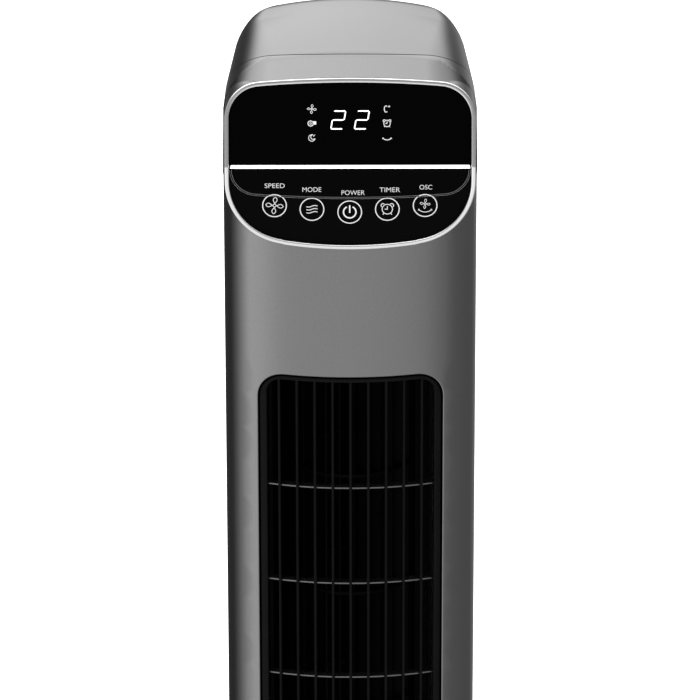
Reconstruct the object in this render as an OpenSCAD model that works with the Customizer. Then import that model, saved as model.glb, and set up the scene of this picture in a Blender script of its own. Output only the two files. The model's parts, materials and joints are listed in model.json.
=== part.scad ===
// Oscillating tower fan: a slim column with a cross-flow blower, standing on a round turntable base.
// Origin: centre of the base, on the floor. +Z is up and the air leaves towards -Y. Millimetres.

/* [Column] */
// Width of the column
column_w = 160; // [156:1:164]
// Distance from the oscillation axis to the front of the column
front_y = 75; // [72:1:76]
// Radius of the crowned front
front_r = 168; // [160:1:180]
// Radius of the vertical front corners
corner_r = 28; // [24:1:30]
// Radius of the rounded back
back_r = 110; // [108:1:116]
// Height of the top of the cap
total_h = 1045; // [1043:0.5:1048]
// Wall thickness of the mouldings
wall = 2.5; // [2:0.1:3]

/* [Control panel] */
// Height of the knee where the panel starts to lean back
knee_z = 973.5; // [970:0.5:976]
// Lean of the display half of the panel
panel_lean = 15; // [10:1:18]
// Width of the bright bezel
bezel_w = 3; // [2:0.1:4]
// Distance that the bezel stands proud of the column
bezel_proud = 1.4; // [0.8:0.1:1.5]
// Number of touch keys
key_count = 5; // [3:1:5]

/* [Air outlet] */
// Width of the outlet opening
outlet_w = 116.6; // [112:0.1:118]
// Height of the bottom of the outlet
outlet_bottom = 143; // [140:1:150]
// Height of the top of the outlet
outlet_top = 830; // [825:1:832]
// Distance between the upright slats
slat_pitch = 11.35; // [10:0.05:11.5]
// Number of upright slats
slat_count = 9; // [7:1:9]
// Distance between the cross ribs
rib_pitch = 66.8; // [60:0.1:70]

/* [Blower] */
// Radius of the cross-flow rotor
rotor_r = 42; // [38:1:43]
// Distance of the rotor axis behind the oscillation axis
rotor_y = 24; // [22:1:26]
// Number of rotor blades
blade_count = 28; // [20:1:32]
// Number of rotor sections
section_count = 8; // [6:1:10]

/* [Base] */
// Diameter of the base
base_d = 300; // [290:1:320]
// Height of the base
base_h = 40; // [38:1:40]
// Number of rubber feet
foot_count = 5; // [5:1:6]

/* [Oscillation drive] */
// Gear module
gear_module = 1; // [1:1:1]
// Teeth on the full circle of the sector gear
sector_teeth = 90; // [90:15:90]
// Teeth on the pinion
pinion_teeth = 15; // [15:1:15]

/* [Hidden] */
$fn = 72;

fit_gap = 0.3;                       // between mouldings that only touch
run_gap = 0.05;                      // radial clearance of a running shaft
far = 400;                           // longer than anything that it cuts

half_w = column_w / 2;
front_cy = front_r - front_y;
corner_x = half_w - corner_r;
corner_y = front_cy - sqrt(pow(front_r - corner_r, 2) - pow(corner_x, 2));
back_corner_r = 45;
back_corner_x = half_w - back_corner_r;
back_corner_y = 25;
back_cy = back_corner_y - sqrt(pow(back_r - back_corner_r, 2) - pow(back_corner_x, 2));
back_y = back_cy + back_r;
column_z = base_h + 5;               // underside of the column
split_y = 3;                         // plane where the front and rear shells meet

panel_rise = 55.6;                   // leaning length of the panel above the knee
panel_drop = 55;                     // height of the panel below the knee
panel_top_r = 720;
panel_top_corner_r = 23;
panel_top_corner = [half_w - panel_top_corner_r, 30.3];
panel_low_r = 258;
panel_low_corner_r = 42;
panel_low_corner = [half_w - panel_low_corner_r, -9.6];
lens_drop = 21.2;                    // height of the lens below the knee
panel_depth = 3;                     // column face to the back of the panel plate
bezel_depth = wall + 0.9;            // column face to the back of the bezel
key_pitch = 24;
board_depth = 12;                    // panel face to the boards behind it
strip_w = 151.4;
strip_h = 2.6;                       // white strip along the knee

shoulder_y = -front_y + panel_rise * sin(panel_lean);
shoulder_z = knee_z + panel_rise * cos(panel_lean);
seam_y = shoulder_y + 13;
seam_z = shoulder_z + 11.4;
seam_slope = 37.3;                   // fall of the cap seam towards the back
cap_back_r = 50;
cap_side_r = 22;
cap_lean = 14;
cap_lean_z = 1003;
cap_crown_r = 600;

duct_low = outlet_bottom - 4;
duct_high = outlet_top + 1;
plate_t = 3;
rotor_low = duct_low + 12;
rotor_high = duct_high - 9;
scroll_r = rotor_r + 8;
duct_front = 21 - front_y;           // front edge of the duct walls
shaft_r = 4;
motor_r = 38;
motor_high = duct_low - 10;
motor_low = motor_high - 56;
motor_mid = (motor_low + motor_high) / 2;

grille_t = 10;                       // depth of the outlet grille
rib_edge = 76.7;                     // top of the outlet to the first cross rib
cheek_w = 5.3;                       // solid side border of the outlet grille
inlet_w = 112;
inlet_low = 180;
inlet_high = 800;
outlet_corner_r = 14;

hub_r = 24;
neck_r = 20;
cable_r = 13;
boss_low = 31;
neck_low = 22.4;
sector_r = gear_module * sector_teeth / 2;
pinion_r = gear_module * pinion_teeth / 2;
pinion_y = sector_r + pinion_r;
sector_side_teeth = 12;
base_r = base_d / 2;
edge_r = 14;
plate_low = 3;
plate_high = 5.5;
post_r = 110;                        // circle of the base screws
bolt_r = 52;                         // circle of the turntable screws
base_flat_r = 62;                    // flat middle of the base's top

boss_x = half_w - wall - 5;
boss_z = [72, 330, 660, 915];
boss_r = 5.2;
screw_seat = split_y + 8;            // where the heads of the shell screws sit
recess_r = 3.8;                      // round the heads of the shell screws

// Points of an arc about c, from angle a0 to a1
function arc(c, r, a0, a1, n = 8) = [
    for (i = [0:n]) let (a = a0 + (a1 - a0) * i / n) c + r * [cos(a), sin(a)]
];

// Outline of the column from above, inset by t
function plan_points(t) = let (
    front_a = atan2(corner_y - front_cy, corner_x),
    back_a = atan2(back_corner_y - back_cy, back_corner_x)
) concat(
    arc([0, front_cy], front_r - t, -180 - front_a, front_a),
    arc([corner_x, corner_y], corner_r - t, front_a, 0),
    arc([back_corner_x, back_corner_y], back_corner_r - t, 0, back_a),
    arc([0, back_cy], back_r - t, back_a, 180 - back_a),
    arc([-back_corner_x, back_corner_y], back_corner_r - t, 180 - back_a, 180),
    arc([-corner_x, corner_y], corner_r - t, 180, 180 - front_a)
);

// Height above the floor of a point at distance s along the panel from the knee
function panel_z(s) = knee_z + (s > 0 ? s * cos(panel_lean) : s);

// Outline of the panel from the front, inset by t
function panel_points(t) = let (
    top_c = [0, panel_rise - panel_top_r],
    low_c = [0, panel_low_r - panel_drop],
    top_a = atan2(panel_top_corner[1] - top_c[1], panel_top_corner[0]),
    low_a = atan2(panel_low_corner[1] - low_c[1], panel_low_corner[0]),
    flat = concat(
        arc(low_c, panel_low_r - t, -180 - low_a, low_a),
        arc(panel_low_corner, panel_low_corner_r - t, low_a, 0),
        arc(panel_top_corner, panel_top_corner_r - t, 0, top_a),
        arc(top_c, panel_top_r - t, top_a, 180 - top_a),
        arc([-panel_top_corner[0], panel_top_corner[1]], panel_top_corner_r - t, 180 - top_a, 180),
        arc([-panel_low_corner[0], panel_low_corner[1]], panel_low_corner_r - t, 180, 180 - low_a)
    )
) [for (p = flat) [p[0], panel_z(p[1])]];

// Outline of the column from the side, as Y and Z
function side_points() = concat(
    [[-front_y, 0], [-front_y, knee_z], [shoulder_y, shoulder_z], [seam_y, seam_z]],
    arc([back_y - cap_back_r, total_h - cap_back_r], cap_back_r, 94, 0),
    [[back_y, 0]]
);

// Outline of the column from the front, as X and Z
function cap_points() = let (
    corner_z = total_h - cap_side_r - 2,
    corner_cx = half_w - (corner_z - cap_lean_z) * tan(cap_lean) - cap_side_r / cos(cap_lean),
    right = concat(
        [[half_w, 0], [half_w, cap_lean_z]],
        arc([corner_cx, corner_z], cap_side_r, cap_lean, 85, 6),
        arc([0, total_h - cap_crown_r], cap_crown_r, 86, 90, 3)
    )
) concat(right, [for (i = [len(right) - 2:-1:0]) [-right[i][0], right[i][1]]]);

// Draws a shape given as X and Z, and runs it from Y = low to Y = high
module along_y(low, high) {
    translate([0, high, 0]) rotate([90, 0, 0]) linear_extrude(high - low) children();
}

// Draws a shape given as Y and Z across the whole width
module along_x() {
    rotate([90, 0, 90]) linear_extrude(far, center = true) children();
}

module rod(r, low, high) {
    translate([0, 0, low]) cylinder(r = r, h = high - low);
}

module tube(r_out, r_in, low, high) {
    difference() {
        rod(r_out, low, high);
        rod(r_in, low - 1, high + 1);
    }
}

module at_rotor() {
    translate([0, rotor_y, 0]) children();
}

module on_circle(count, r, start = 90) {
    for (i = [0:count - 1]) rotate(start + 360 * i / count) translate([r, 0, 0]) children();
}

module rounded_rect(w, low, high, r) {
    polygon(concat(
        arc([w / 2 - r, high - r], r, 0, 90, 6), arc([r - w / 2, high - r], r, 90, 180, 6),
        arc([r - w / 2, low + r], r, 180, 270, 6), arc([w / 2 - r, low + r], r, 270, 360, 6)
    ));
}

// Column as one solid, inset by t: the upright body with the panel's flat pod on its front
module column_form(t = 0) {
    intersection() {
        union() {
            linear_extrude(total_h) polygon(plan_points(t));
            along_y(-front_y, corner_y + 1) pod_outline(t);
        }
        along_x() offset(delta = -t) polygon(side_points());
        along_y(-far, far) offset(delta = -t) polygon(cap_points());
    }
}

// Pod outline from the front: the panel's lower end carried up to the cap
module pod_outline(t) {
    polygon(panel_points(t));
    translate([t - half_w, panel_z(0)]) square([2 * (half_w - t), total_h - knee_z]);
}

// Layer of the panel between two depths behind the column's front surface
module panel_layer(front, back) {
    intersection() {
        along_x() difference() {
            offset(delta = -front) polygon(side_points());
            offset(delta = -back) polygon(side_points());
        }
        along_y(-far, 0) children();
    }
}

// Everything above the cap's seam, which falls towards the back
module above_seam() {
    translate([0, seam_y, seam_z]) rotate([-seam_slope, 0, 0])
        translate([-far / 2, -far / 2, 0]) cube(far);
}

// Places a child on the leaning display half, s above the knee and d behind its face
module on_display(x, s, d) {
    translate([0, -front_y, knee_z]) rotate([-panel_lean, 0, 0]) translate([x, d, s]) children();
}

// One gear tooth's right flank as radius and angle, from the root to the tip
function flank(teeth, r, root, tip, backlash) = let (
    base = r * cos(20),
    start = max(base, root),
    inv20 = tan(20) * 180 / PI - 20,
    half = 90 / teeth - backlash / r * 90 / PI
) concat(
    root < base ? [[root, half + inv20]] : [],
    [for (i = [0:5]) let (rho = start + (tip - start) * i / 5, a = acos(min(1, base / rho)))
        [rho, half + inv20 - (tan(a) * 180 / PI - a)]]
);

// Teeth numbered first to last about the +Y direction
function tooth_points(teeth, r, root, tip, backlash, first, last) = let (
    side = flank(teeth, r, root, tip, backlash), n = len(side)
) [
    for (k = [first:last], i = [0:2 * n - 1])
        let (f = i < n ? side[i] : side[2 * n - 1 - i],
             a = 90 - k * 360 / teeth + (i < n ? f[1] : -f[1]))
        f[0] * [cos(a), sin(a)]
];

/* ---- base ---- */

module base_shell() color("dimgray") {
    edge = [base_r - edge_r, 18];
    difference() {
        rotate_extrude($fn = 120) polygon(concat(
            [[hub_r, boss_low], [hub_r, base_h], [base_flat_r, base_h]],
            arc(edge, edge_r, 84, 0),
            [[base_r, plate_low], [base_r - 3, plate_low]],
            arc(edge, edge_r - 3, 0, 84),
            [[base_flat_r, base_h - 3], [hub_r + 6, base_h - 3], [hub_r + 6, boss_low]]
        ));
        translate([0, base_r - 20, 14]) rotate([-90, 0, 0]) cylinder(r = 6, h = 40);
    }
    on_circle(foot_count, post_r, 126) tube(4.5, 1.8, plate_high, base_h - 8);
}

module base_plate() color("silver") difference() {
    rod(base_r - 3 - fit_gap, plate_low, plate_high);
    on_circle(foot_count, post_r, 126) rod(2, 0, 10);
    rod(cable_r, 0, 10);
}

module ballast_ring() color("gray") tube(103, 82, plate_high, plate_high + 10);

module rubber_feet() color("black") on_circle(foot_count, 128) rod(10, 0, plate_low);

module base_screws() color("silver") on_circle(foot_count, post_r, 126) {
    rod(3.5, plate_low - 1.6, plate_low);
    rod(1.7, plate_low, plate_low + 14);
}

module cord_gland() color("black") translate([0, 0, 14]) rotate([-90, 0, 0]) difference() {
    union() {
        rod(5.8, base_r - 12, base_r - 0.5);
        rod(8, base_r - 12, base_r - 7);
    }
    rod(3.3, base_r - 20, base_r + 10);
}

module thrust_washer() color("white") tube(50, 28, base_h, base_h + 1.5);

/* ---- oscillation drive ---- */

module osc_motor() color("silver") translate([0, pinion_y, 0]) tube(25, 3.5 + run_gap, plate_high, 20);

// Strap over the motor can, screwed to the base plate at both ends
module osc_motor_strap() color("gray") translate([0, pinion_y + 12, 0]) difference() {
    union() {
        translate([-38, -4, plate_high]) cube([12.4, 8, 1.5]);
        translate([25.6, -4, plate_high]) cube([12.4, 8, 1.5]);
        translate([-27.1, -4, plate_high]) cube([1.5, 8, 16]);
        translate([25.6, -4, plate_high]) cube([1.5, 8, 16]);
        translate([-27.1, -4, 20]) cube([54.2, 8, 1.5]);
    }
    for (x = [-33, 33]) translate([x, 0, 0]) rod(1.8, 0, 10);
}

module osc_motor_shaft() color("silver") translate([0, pinion_y, 0]) {
    rod(3.5, plate_high + 1, neck_low - 0.6);
    rod(2.5, neck_low - 0.6, 29);
}

module osc_pinion() color("white") translate([0, pinion_y, 0]) difference() {
    translate([0, 0, neck_low - 0.4]) linear_extrude(6) polygon(
        tooth_points(pinion_teeth, pinion_r, pinion_r - 1.3, pinion_r + 0.85, 0.12, 0, pinion_teeth - 1));
    rod(2.5, 0, 40);
}

module sector_gear() color("white") difference() {
    union() {
        translate([0, 0, neck_low]) linear_extrude(5.4) polygon(concat(
            tooth_points(sector_teeth, sector_r, sector_r - 1.3, sector_r + 0.85, 0.12,
                -sector_side_teeth, sector_side_teeth),
            [[18, 20], [-18, 20]]
        ));
        rod(27, neck_low, 27.8);
    }
    rod(neck_r, 0, 40);
}

module turntable_hub() color("dimgray") difference() {
    union() {
        rod(neck_r, neck_low, boss_low);
        rod(hub_r - run_gap, boss_low - 0.1, base_h + 2);
        rod(60, base_h + 1.6, column_z);
    }
    rod(cable_r, 0, far);
    on_circle(6, bolt_r) rod(1.7, 0, far);
}

module retaining_ring() color("silver") tube(28, neck_r, 27.8, boss_low - 0.2);

module turntable_screws() color("silver") on_circle(6, bolt_r) {
    rod(3.5, column_z + 3, column_z + 5);
    rod(1.6, column_z - 3, column_z + 3);
}

/* ---- casing ---- */

module bottom_cover() color("dimgray") difference() {
    translate([0, 0, column_z]) linear_extrude(3) polygon(plan_points(wall + fit_gap));
    rod(cable_r, 0, far);
    on_circle(6, bolt_r) rod(1.8, 0, far);
}

module front_shell() color("gray") {
    difference() {
        column_form();
        column_form(wall);
        above_seam();
        translate([-far / 2, split_y, 0]) cube([far, far, 2 * far + total_h]);
        translate([-far / 2, -far / 2, -1]) cube([far, far, column_z + 1]);
        along_y(-far, -front_y / 2) rounded_rect(outlet_w + 2, outlet_bottom - 1, outlet_top + 1, outlet_corner_r);
        panel_layer(-2, bezel_depth) polygon(panel_points(-0.5));
    }
    for (side = [-1, 1], z = boss_z) translate([side * boss_x, split_y, z])
        rotate([90, 0, 0]) tube(boss_r, 1.5, 0, 14);
}

module rear_shell() color("gray") difference() {
    union() {
        difference() {
            column_form();
            column_form(wall);
        }
        intersection() {
            column_form(wall / 2);
            for (side = [-1, 1], z = boss_z) translate([side * boss_x, split_y, z])
                rotate([-90, 0, 0]) cylinder(r = boss_r, h = 60);
        }
    }
    above_seam();
    translate([-far / 2, split_y - far, 0]) cube([far, far, 2 * far + total_h]);
    translate([-far / 2, -far / 2, -1]) cube([far, far, column_z + 1]);
    along_y(split_y + 20, far) rounded_rect(inlet_w + 0.6, inlet_low - fit_gap, inlet_high + fit_gap, 1);
    for (side = [-1, 1], z = boss_z) translate([side * boss_x, 0, z]) rotate([-90, 0, 0]) {
        rod(1.8, 0, far);
        rod(recess_r, screw_seat, far);
    }
}

module top_cap() color("silver") intersection() {
    difference() {
        column_form();
        column_form(wall);
    }
    above_seam();
}

module shell_screws() color("silver")
    for (side = [-1, 1], z = boss_z) translate([side * boss_x, 0, z]) rotate([-90, 0, 0]) {
        rod(1.45, split_y - 10, screw_seat);
        rod(3.2, screw_seat, screw_seat + 2.5);
    }

// Band that follows the column's wall, seen from above
module wall_band(front, back) {
    difference() {
        polygon(plan_points(front));
        polygon(plan_points(back));
    }
}

// Inlet grille: upright bars with a frame bar at each side, crossed by ribs
module rear_grille() color("gray") {
    bar_pitch = 8;
    bar_count = 13;
    rib_count = 13;
    rib_h = 4;
    rib_step = (inlet_high - inlet_low - rib_h) / (rib_count - 1);
    translate([0, 0, inlet_low]) linear_extrude(inlet_high - inlet_low) intersection() {
        wall_band(0.3, wall);
        union() {
            for (i = [0:bar_count - 1]) translate([(i - (bar_count - 1) / 2) * bar_pitch - 1.5, 20])
                square([3, far]);
            for (x = [-inlet_w / 2, inlet_w / 2 - 4]) translate([x, 20]) square([4, far]);
        }
    }
    for (i = [0:rib_count - 1]) translate([0, 0, inlet_low + i * rib_step]) linear_extrude(rib_h)
        intersection() {
            wall_band(0.3, wall);
            translate([-inlet_w / 2, 20]) square([inlet_w, far]);
        }
}

// Fine dust screen that lies against the inside of the inlet grille
module inlet_filter() color("black") translate([0, 0, inlet_low + 2])
    linear_extrude(inlet_high - inlet_low - 4) intersection() {
        wall_band(wall + fit_gap, wall + fit_gap + 1);
        translate([3 - inlet_w / 2, 20]) square([inlet_w - 6, far]);
    }

// Arc band of the outlet grille, seen from above
module grille_band(front, back) {
    translate([0, front_cy]) difference() {
        circle(front_r - front, $fn = 200);
        circle(front_r - back, $fn = 200);
    }
}

module front_grille() color("black") {
    intersection() {
        translate([0, 0, outlet_bottom]) linear_extrude(outlet_top - outlet_bottom)
            grille_band(0.6, grille_t);
        along_y(-far, 0) difference() {
            rounded_rect(outlet_w, outlet_bottom, outlet_top, outlet_corner_r - 1);
            rounded_rect(outlet_w - 2 * cheek_w, outlet_bottom + 3, outlet_top - 3, 6);
        }
    }
    translate([0, 0, outlet_bottom + 1]) linear_extrude(outlet_top - outlet_bottom - 2) intersection() {
        grille_band(0.9, grille_t);
        for (i = [0:slat_count - 1]) translate([(i - (slat_count - 1) / 2) * slat_pitch - 0.9, -front_y])
            square([1.8, 40]);
    }
    for (z = [outlet_top - rib_edge:-rib_pitch:outlet_bottom + 20]) translate([0, 0, z - 0.8])
        linear_extrude(1.6) intersection() {
            grille_band(4, grille_t);
            translate([cheek_w / 2 - outlet_w / 2, -front_y]) square([outlet_w - cheek_w, 40]);
        }
}

/* ---- control panel ---- */

module panel_bezel() color("white") panel_layer(-bezel_proud, bezel_depth) difference() {
    polygon(panel_points(0.1));
    polygon(panel_points(bezel_w));
}

module touch_panel() color("black") panel_layer(1, panel_depth) polygon(panel_points(bezel_w + 0.2));

// Lens outline from the front: the panel's upper part, with a slot at the knee for the strip
module lens_outline() {
    intersection() {
        polygon(panel_points(bezel_w + 0.8));
        translate([-half_w, knee_z - lens_drop]) square([column_w, 100]);
    }
}

module strip_outline(grow = 0) {
    translate([-strip_w / 2 - grow, knee_z - strip_h / 2 - grow]) square([strip_w + 2 * grow, strip_h + 2 * grow]);
}

module display_lens() color("black") panel_layer(-0.1, 1) difference() {
    lens_outline();
    strip_outline(0.1);
}

module knee_strip() color("white") panel_layer(-0.2, 1) strip_outline();

// Touch keys in a shallow arc, highest at the ends
module at_keys() {
    for (i = [0:key_count - 1]) let (k = i - (key_count - 1) / 2)
        translate([k * key_pitch, -front_y, knee_z - 30.7 + 1.1 * k * k]) children();
}

module control_pcb() color("green") translate([-57, board_depth - front_y, knee_z - 40])
    cube([114, 1.6, 32]);

module touch_springs() color("orange") at_keys()
    translate([0, panel_depth, 0]) rotate([-90, 0, 0]) cylinder(r = 4, h = board_depth - panel_depth);

module display_pcb() color("green") on_display(0, 8, board_depth) translate([-50, 0, 0]) cube([100, 1.6, 38]);

module led_display() color("black") on_display(0, 30, panel_depth + 0.5)
    translate([-30, 0, -15]) cube([60, board_depth - panel_depth - 0.5, 30]);

module ir_receiver() color("black") on_display(42, 16, panel_depth + 0.5)
    translate([-4, 0, -4]) cube([8, board_depth - panel_depth - 0.5, 8]);

/* ---- electrics in the foot of the column ---- */

module power_pcb() color("green") translate([-45, -40, column_z + 8]) cube([90, 1.6, 56]);

module run_capacitor() color("gray") translate([-18, -38.4, column_z + 20]) cube([36, 14, 26]);

/* ---- blower ---- */

module duct_plate(low, hole_r) {
    difference() {
        translate([0, 0, low]) linear_extrude(plate_t) intersection() {
            polygon(plan_points(wall + fit_gap));
            translate([-far, 1.5 * grille_t - front_y]) square(2 * far);
        }
        at_rotor() rod(hole_r, 0, total_h);
    }
}

module duct_bottom_plate() color("dimgray") duct_plate(duct_low, 17);

module duct_top_plate() color("dimgray") duct_plate(duct_high, 14);

module duct_extrude() {
    low = duct_low + plate_t;
    translate([0, 0, low]) linear_extrude(duct_high - low) children();
}

module scroll_wall() color("dimgray") duct_extrude() {
    translate([0, rotor_y]) polygon(concat(
        arc([0, 0], scroll_r + 2, 100, 180, 12), arc([0, 0], scroll_r, 180, 100, 12)));
    translate([-scroll_r - 2, duct_front]) square([2, rotor_y - duct_front]);
}

module tongue_wall() color("dimgray") duct_extrude() {
    translate([scroll_r, duct_front]) square([2, 46]);
    translate([scroll_r - 8, duct_front + 44]) square([9, 2]);
}

module motor_bell() {
    difference() {
        union() {
            rod(motor_r, 0, motor_mid - motor_low);
            rod(8, -4, 1);
        }
        rod(motor_r - wall, wall, far);
        rod(shaft_r + run_gap, -10, 10);
    }
}

module motor_lower_bell() color("silver") at_rotor() translate([0, 0, motor_low]) motor_bell();

module motor_upper_bell() color("silver") at_rotor() translate([0, 0, motor_high])
    mirror([0, 0, 1]) motor_bell();

module motor_stator() color("brown") at_rotor()
    tube(motor_r - wall - fit_gap, 24.5, motor_mid - 16, motor_mid + 16);

// Plate over the motor with three posts up to the duct's lower plate
module motor_bracket() color("silver") at_rotor() difference() {
    union() {
        rod(motor_r, motor_high, motor_high + 2);
        on_circle(3, motor_r + 6, 30) {
            rod(5, motor_high, duct_low);
            translate([-12, -5, motor_high]) cube([12, 10, 2]);
        }
    }
    rod(8 + fit_gap, 0, far);
}

module motor_rotor() color("silver") at_rotor() tube(24, shaft_r, motor_mid - 18, motor_mid + 18);

module motor_shaft() color("silver") at_rotor() rod(shaft_r, motor_low - 6, rotor_low + 8);

module drive_coupling() color("black") at_rotor() tube(14, shaft_r, rotor_low - 8, rotor_low + 10);

// Cross-flow rotor: slanted blades between rings, with a closed disc at each end
module impeller() color("black") at_rotor() {
    section = (rotor_high - rotor_low) / section_count;
    on_circle(blade_count, rotor_r - 5) rotate(28)
        translate([-4.6, -0.5, rotor_low]) cube([9.2, 1, rotor_high - rotor_low]);
    for (i = [1:section_count - 1])
        tube(rotor_r, rotor_r - 11, rotor_low + i * section - 1, rotor_low + i * section + 1);
    tube(rotor_r, 14, rotor_low, rotor_low + 3);
    tube(rotor_r, shaft_r, rotor_high - 3, rotor_high);
    tube(10, shaft_r, rotor_high - 12, rotor_high - 2);
}

module impeller_axle() color("silver") at_rotor() rod(shaft_r, rotor_high - 12, duct_high + 13);

module top_bearing() color("gold") at_rotor() tube(8, shaft_r + run_gap, duct_high + 1, duct_high + 12);

module bearing_mount() color("black") at_rotor() {
    tube(14 - 0.02, 8, duct_high, duct_high + 12);
    tube(19, 8, duct_high + plate_t, duct_high + plate_t + 3);
}

base_shell();
base_plate();
ballast_ring();
rubber_feet();
base_screws();
cord_gland();
thrust_washer();
osc_motor();
osc_motor_strap();
osc_motor_shaft();
osc_pinion();
turntable_hub();
retaining_ring();
sector_gear();
turntable_screws();
bottom_cover();
front_shell();
rear_shell();
top_cap();
shell_screws();
rear_grille();
inlet_filter();
front_grille();
panel_bezel();
touch_panel();
display_lens();
knee_strip();
control_pcb();
touch_springs();
display_pcb();
led_display();
ir_receiver();
power_pcb();
run_capacitor();
duct_bottom_plate();
duct_top_plate();
scroll_wall();
tongue_wall();
motor_lower_bell();
motor_upper_bell();
motor_stator();
motor_bracket();
motor_rotor();
motor_shaft();
impeller();
drive_coupling();
impeller_axle();
top_bearing();
bearing_mount();
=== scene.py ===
"""Oscillating tower fan: the visual model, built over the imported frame.

Lengths are in metres. The column stands on the origin, the air leaves towards -Y and +Z is up.
Panel positions are given as (x, s, h): across, up along the panel from its knee, and out from its face.
"""
import itertools
import json
import math

import bmesh
import bpy
import numpy as np
from mathutils import Matrix, Vector
from mathutils.geometry import delaunay_2d_cdt


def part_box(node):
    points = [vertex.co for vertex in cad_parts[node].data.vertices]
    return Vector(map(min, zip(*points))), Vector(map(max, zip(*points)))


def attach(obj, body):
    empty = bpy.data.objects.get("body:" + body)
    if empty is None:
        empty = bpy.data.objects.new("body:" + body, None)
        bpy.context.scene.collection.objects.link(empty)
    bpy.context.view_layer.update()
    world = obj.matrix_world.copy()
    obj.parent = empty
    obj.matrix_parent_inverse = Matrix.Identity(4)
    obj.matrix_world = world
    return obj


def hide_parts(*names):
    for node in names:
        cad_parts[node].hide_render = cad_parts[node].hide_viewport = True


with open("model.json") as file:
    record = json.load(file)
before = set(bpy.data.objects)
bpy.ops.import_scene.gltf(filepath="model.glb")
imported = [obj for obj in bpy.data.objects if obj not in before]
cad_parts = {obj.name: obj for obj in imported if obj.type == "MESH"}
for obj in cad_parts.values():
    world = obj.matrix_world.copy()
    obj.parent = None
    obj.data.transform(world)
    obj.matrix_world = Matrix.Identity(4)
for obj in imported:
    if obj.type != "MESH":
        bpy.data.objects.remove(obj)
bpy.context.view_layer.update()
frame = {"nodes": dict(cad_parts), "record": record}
MM = 0.001

# ---- Dimensions

# Column outline from above
HALF_W = 80 * MM
FRONT_Y = -75 * MM
FRONT_R = 168 * MM
CORNER_R = 28 * MM
BACK_R = 110 * MM
BACK_CORNER_R = 45 * MM
BACK_CORNER_Y = 25 * MM
SPLIT_Y = 3 * MM
COLUMN_Z = 45 * MM

# Control panel
KNEE_Z = 973.5 * MM
PANEL_HALF = 78.5 * MM
PANEL_LEAN = math.radians(15)
PANEL_RISE = 55.6 * MM
PANEL_DROP = 55 * MM
PANEL_TOP_R = 720 * MM
PANEL_TOP_CORNER_R = 23 * MM
PANEL_TOP_CORNER_S = 30.3 * MM
PANEL_LOW_R = 258 * MM
PANEL_LOW_CORNER_R = 42 * MM
PANEL_LOW_CORNER_S = -9.6 * MM
KNEE_SOFT = 0.3 * MM
LENS_DROP = 21.2 * MM
LENS_HALF = 74.9 * MM
LENS_LOW_R = 790 * MM
LENS_CORNER_R = 17 * MM
BEZEL_DEEP = 3.3 * MM
TOUCH_TOP = -0.5 * MM
LENS_TOP = -0.1 * MM
KNEE_HIGHLIGHT_HALF = 74.5 * MM
POD_INSET = 0.03 * MM
PANEL_BACK_Y = -55 * MM

# Lit digits and key rings
DIGIT_PITCH = 14.7 * MM
DIGIT_H = 11.9 * MM
DIGIT_W = 8.1 * MM
DIGIT_STROKE = 0.78 * MM
DIGIT_SLANT = math.radians(10)
DISPLAY_S = 29.3 * MM
KEY_RING_R = 7.4 * MM
KEY_RING_LINE = 0.62 * MM
LABEL_H = 3 * MM

# Shoulder and cap. The crown factors scale the cap's crown on the shoulder and at the back.
DOME_Z = 960 * MM
DOME_CENTRE = (0.0, 3 * MM, 992 * MM)
SHOULDER_LEAN = math.radians(48.8)
CAP_RISE = 6 * MM
CAP_TOP_Y = 30 * MM
CAP_CROWN_R = 500 * MM
SHOULDER_CROWN = 0.7
CAP_FLAT_Y = 20 * MM
CAP_CROWN_BACK = 2.1
CAP_SIDE_R = 17 * MM
SHOULDER_SIDE_R = 30 * MM
CAP_BEND_Y = 37 * MM
CAP_BEND_R = 38 * MM
CAP_LEAN = math.radians(14)
CAP_LEAN_Z = 987 * MM
CAP_LEAN_RISE = 0.18
CAP_LEAN_SOFT = 3 * MM
TAPER = 0.3 * MM
TAPER_Z = DOME_Z + 2 * MM
TAPER_RISE = 36 * MM
POD_DEEP = 0.6 * MM
SEAM_SLOPE = math.radians(37.3)
SEAM_DEEP = 13 * MM
SEAM_RISE = 11.4 * MM
SHOULDER_EDGE_R = 0.3 * MM
CAP_EDGE_R = 2 * MM
SEAM_GAP = 0.5 * MM
CAP_SKIRT = 30 * MM

# Air outlet and inlet
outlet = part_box("front_grille")
OUTLET_HALF = outlet[1][0] + 0.4 * MM
OUTLET_LOW = outlet[0][2] - 1 * MM
OUTLET_HIGH = outlet[1][2] + 1 * MM
OUTLET_CORNER_R = 16.5 * MM
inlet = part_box("rear_grille")
INLET_HALF = inlet[1][0]
INLET_LOW = inlet[0][2]
INLET_HIGH = inlet[1][2]
INLET_CORNER_R = 1 * MM
INLET_BARS = 13
INLET_BAR_PITCH = 8 * MM
INLET_BAR_W = 3 * MM
INLET_RIBS = 13
INLET_RIB_W = 4 * MM
SLAT_PITCH = 11.35 * MM
SLAT_COUNT = 9
SLAT_W = 1.8 * MM
RIB_PITCH = 66.8 * MM
RIB_W = 1 * MM
RIB_EDGE = 76.7 * MM
CHEEK_W = 4.7 * MM
FRAME_DEEP = 0.8 * MM
SLAT_DEEP = 1.4 * MM
RIB_DEEP = 3 * MM
GRILLE_T = 10 * MM

# Casing, base and screws
WALL = 2.2 * MM
LIP_R = 0.9 * MM
LIP_DEEP = 8 * MM
LINER = 0.8 * MM
BASE_R = 150 * MM
BASE_T = 3 * MM
CORD_HOLE_R = 5.95 * MM
CORD_HOLE_Z = 14 * MM
SCREW_X = 72.5 * MM
SCREW_Z = (72 * MM, 330 * MM, 660 * MM, 915 * MM)
SCREW_RECESS_R = 3.8 * MM
SCREW_BOSS_DEEP = 8 * MM
SPLIT_GAP = 0.4 * MM

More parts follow.
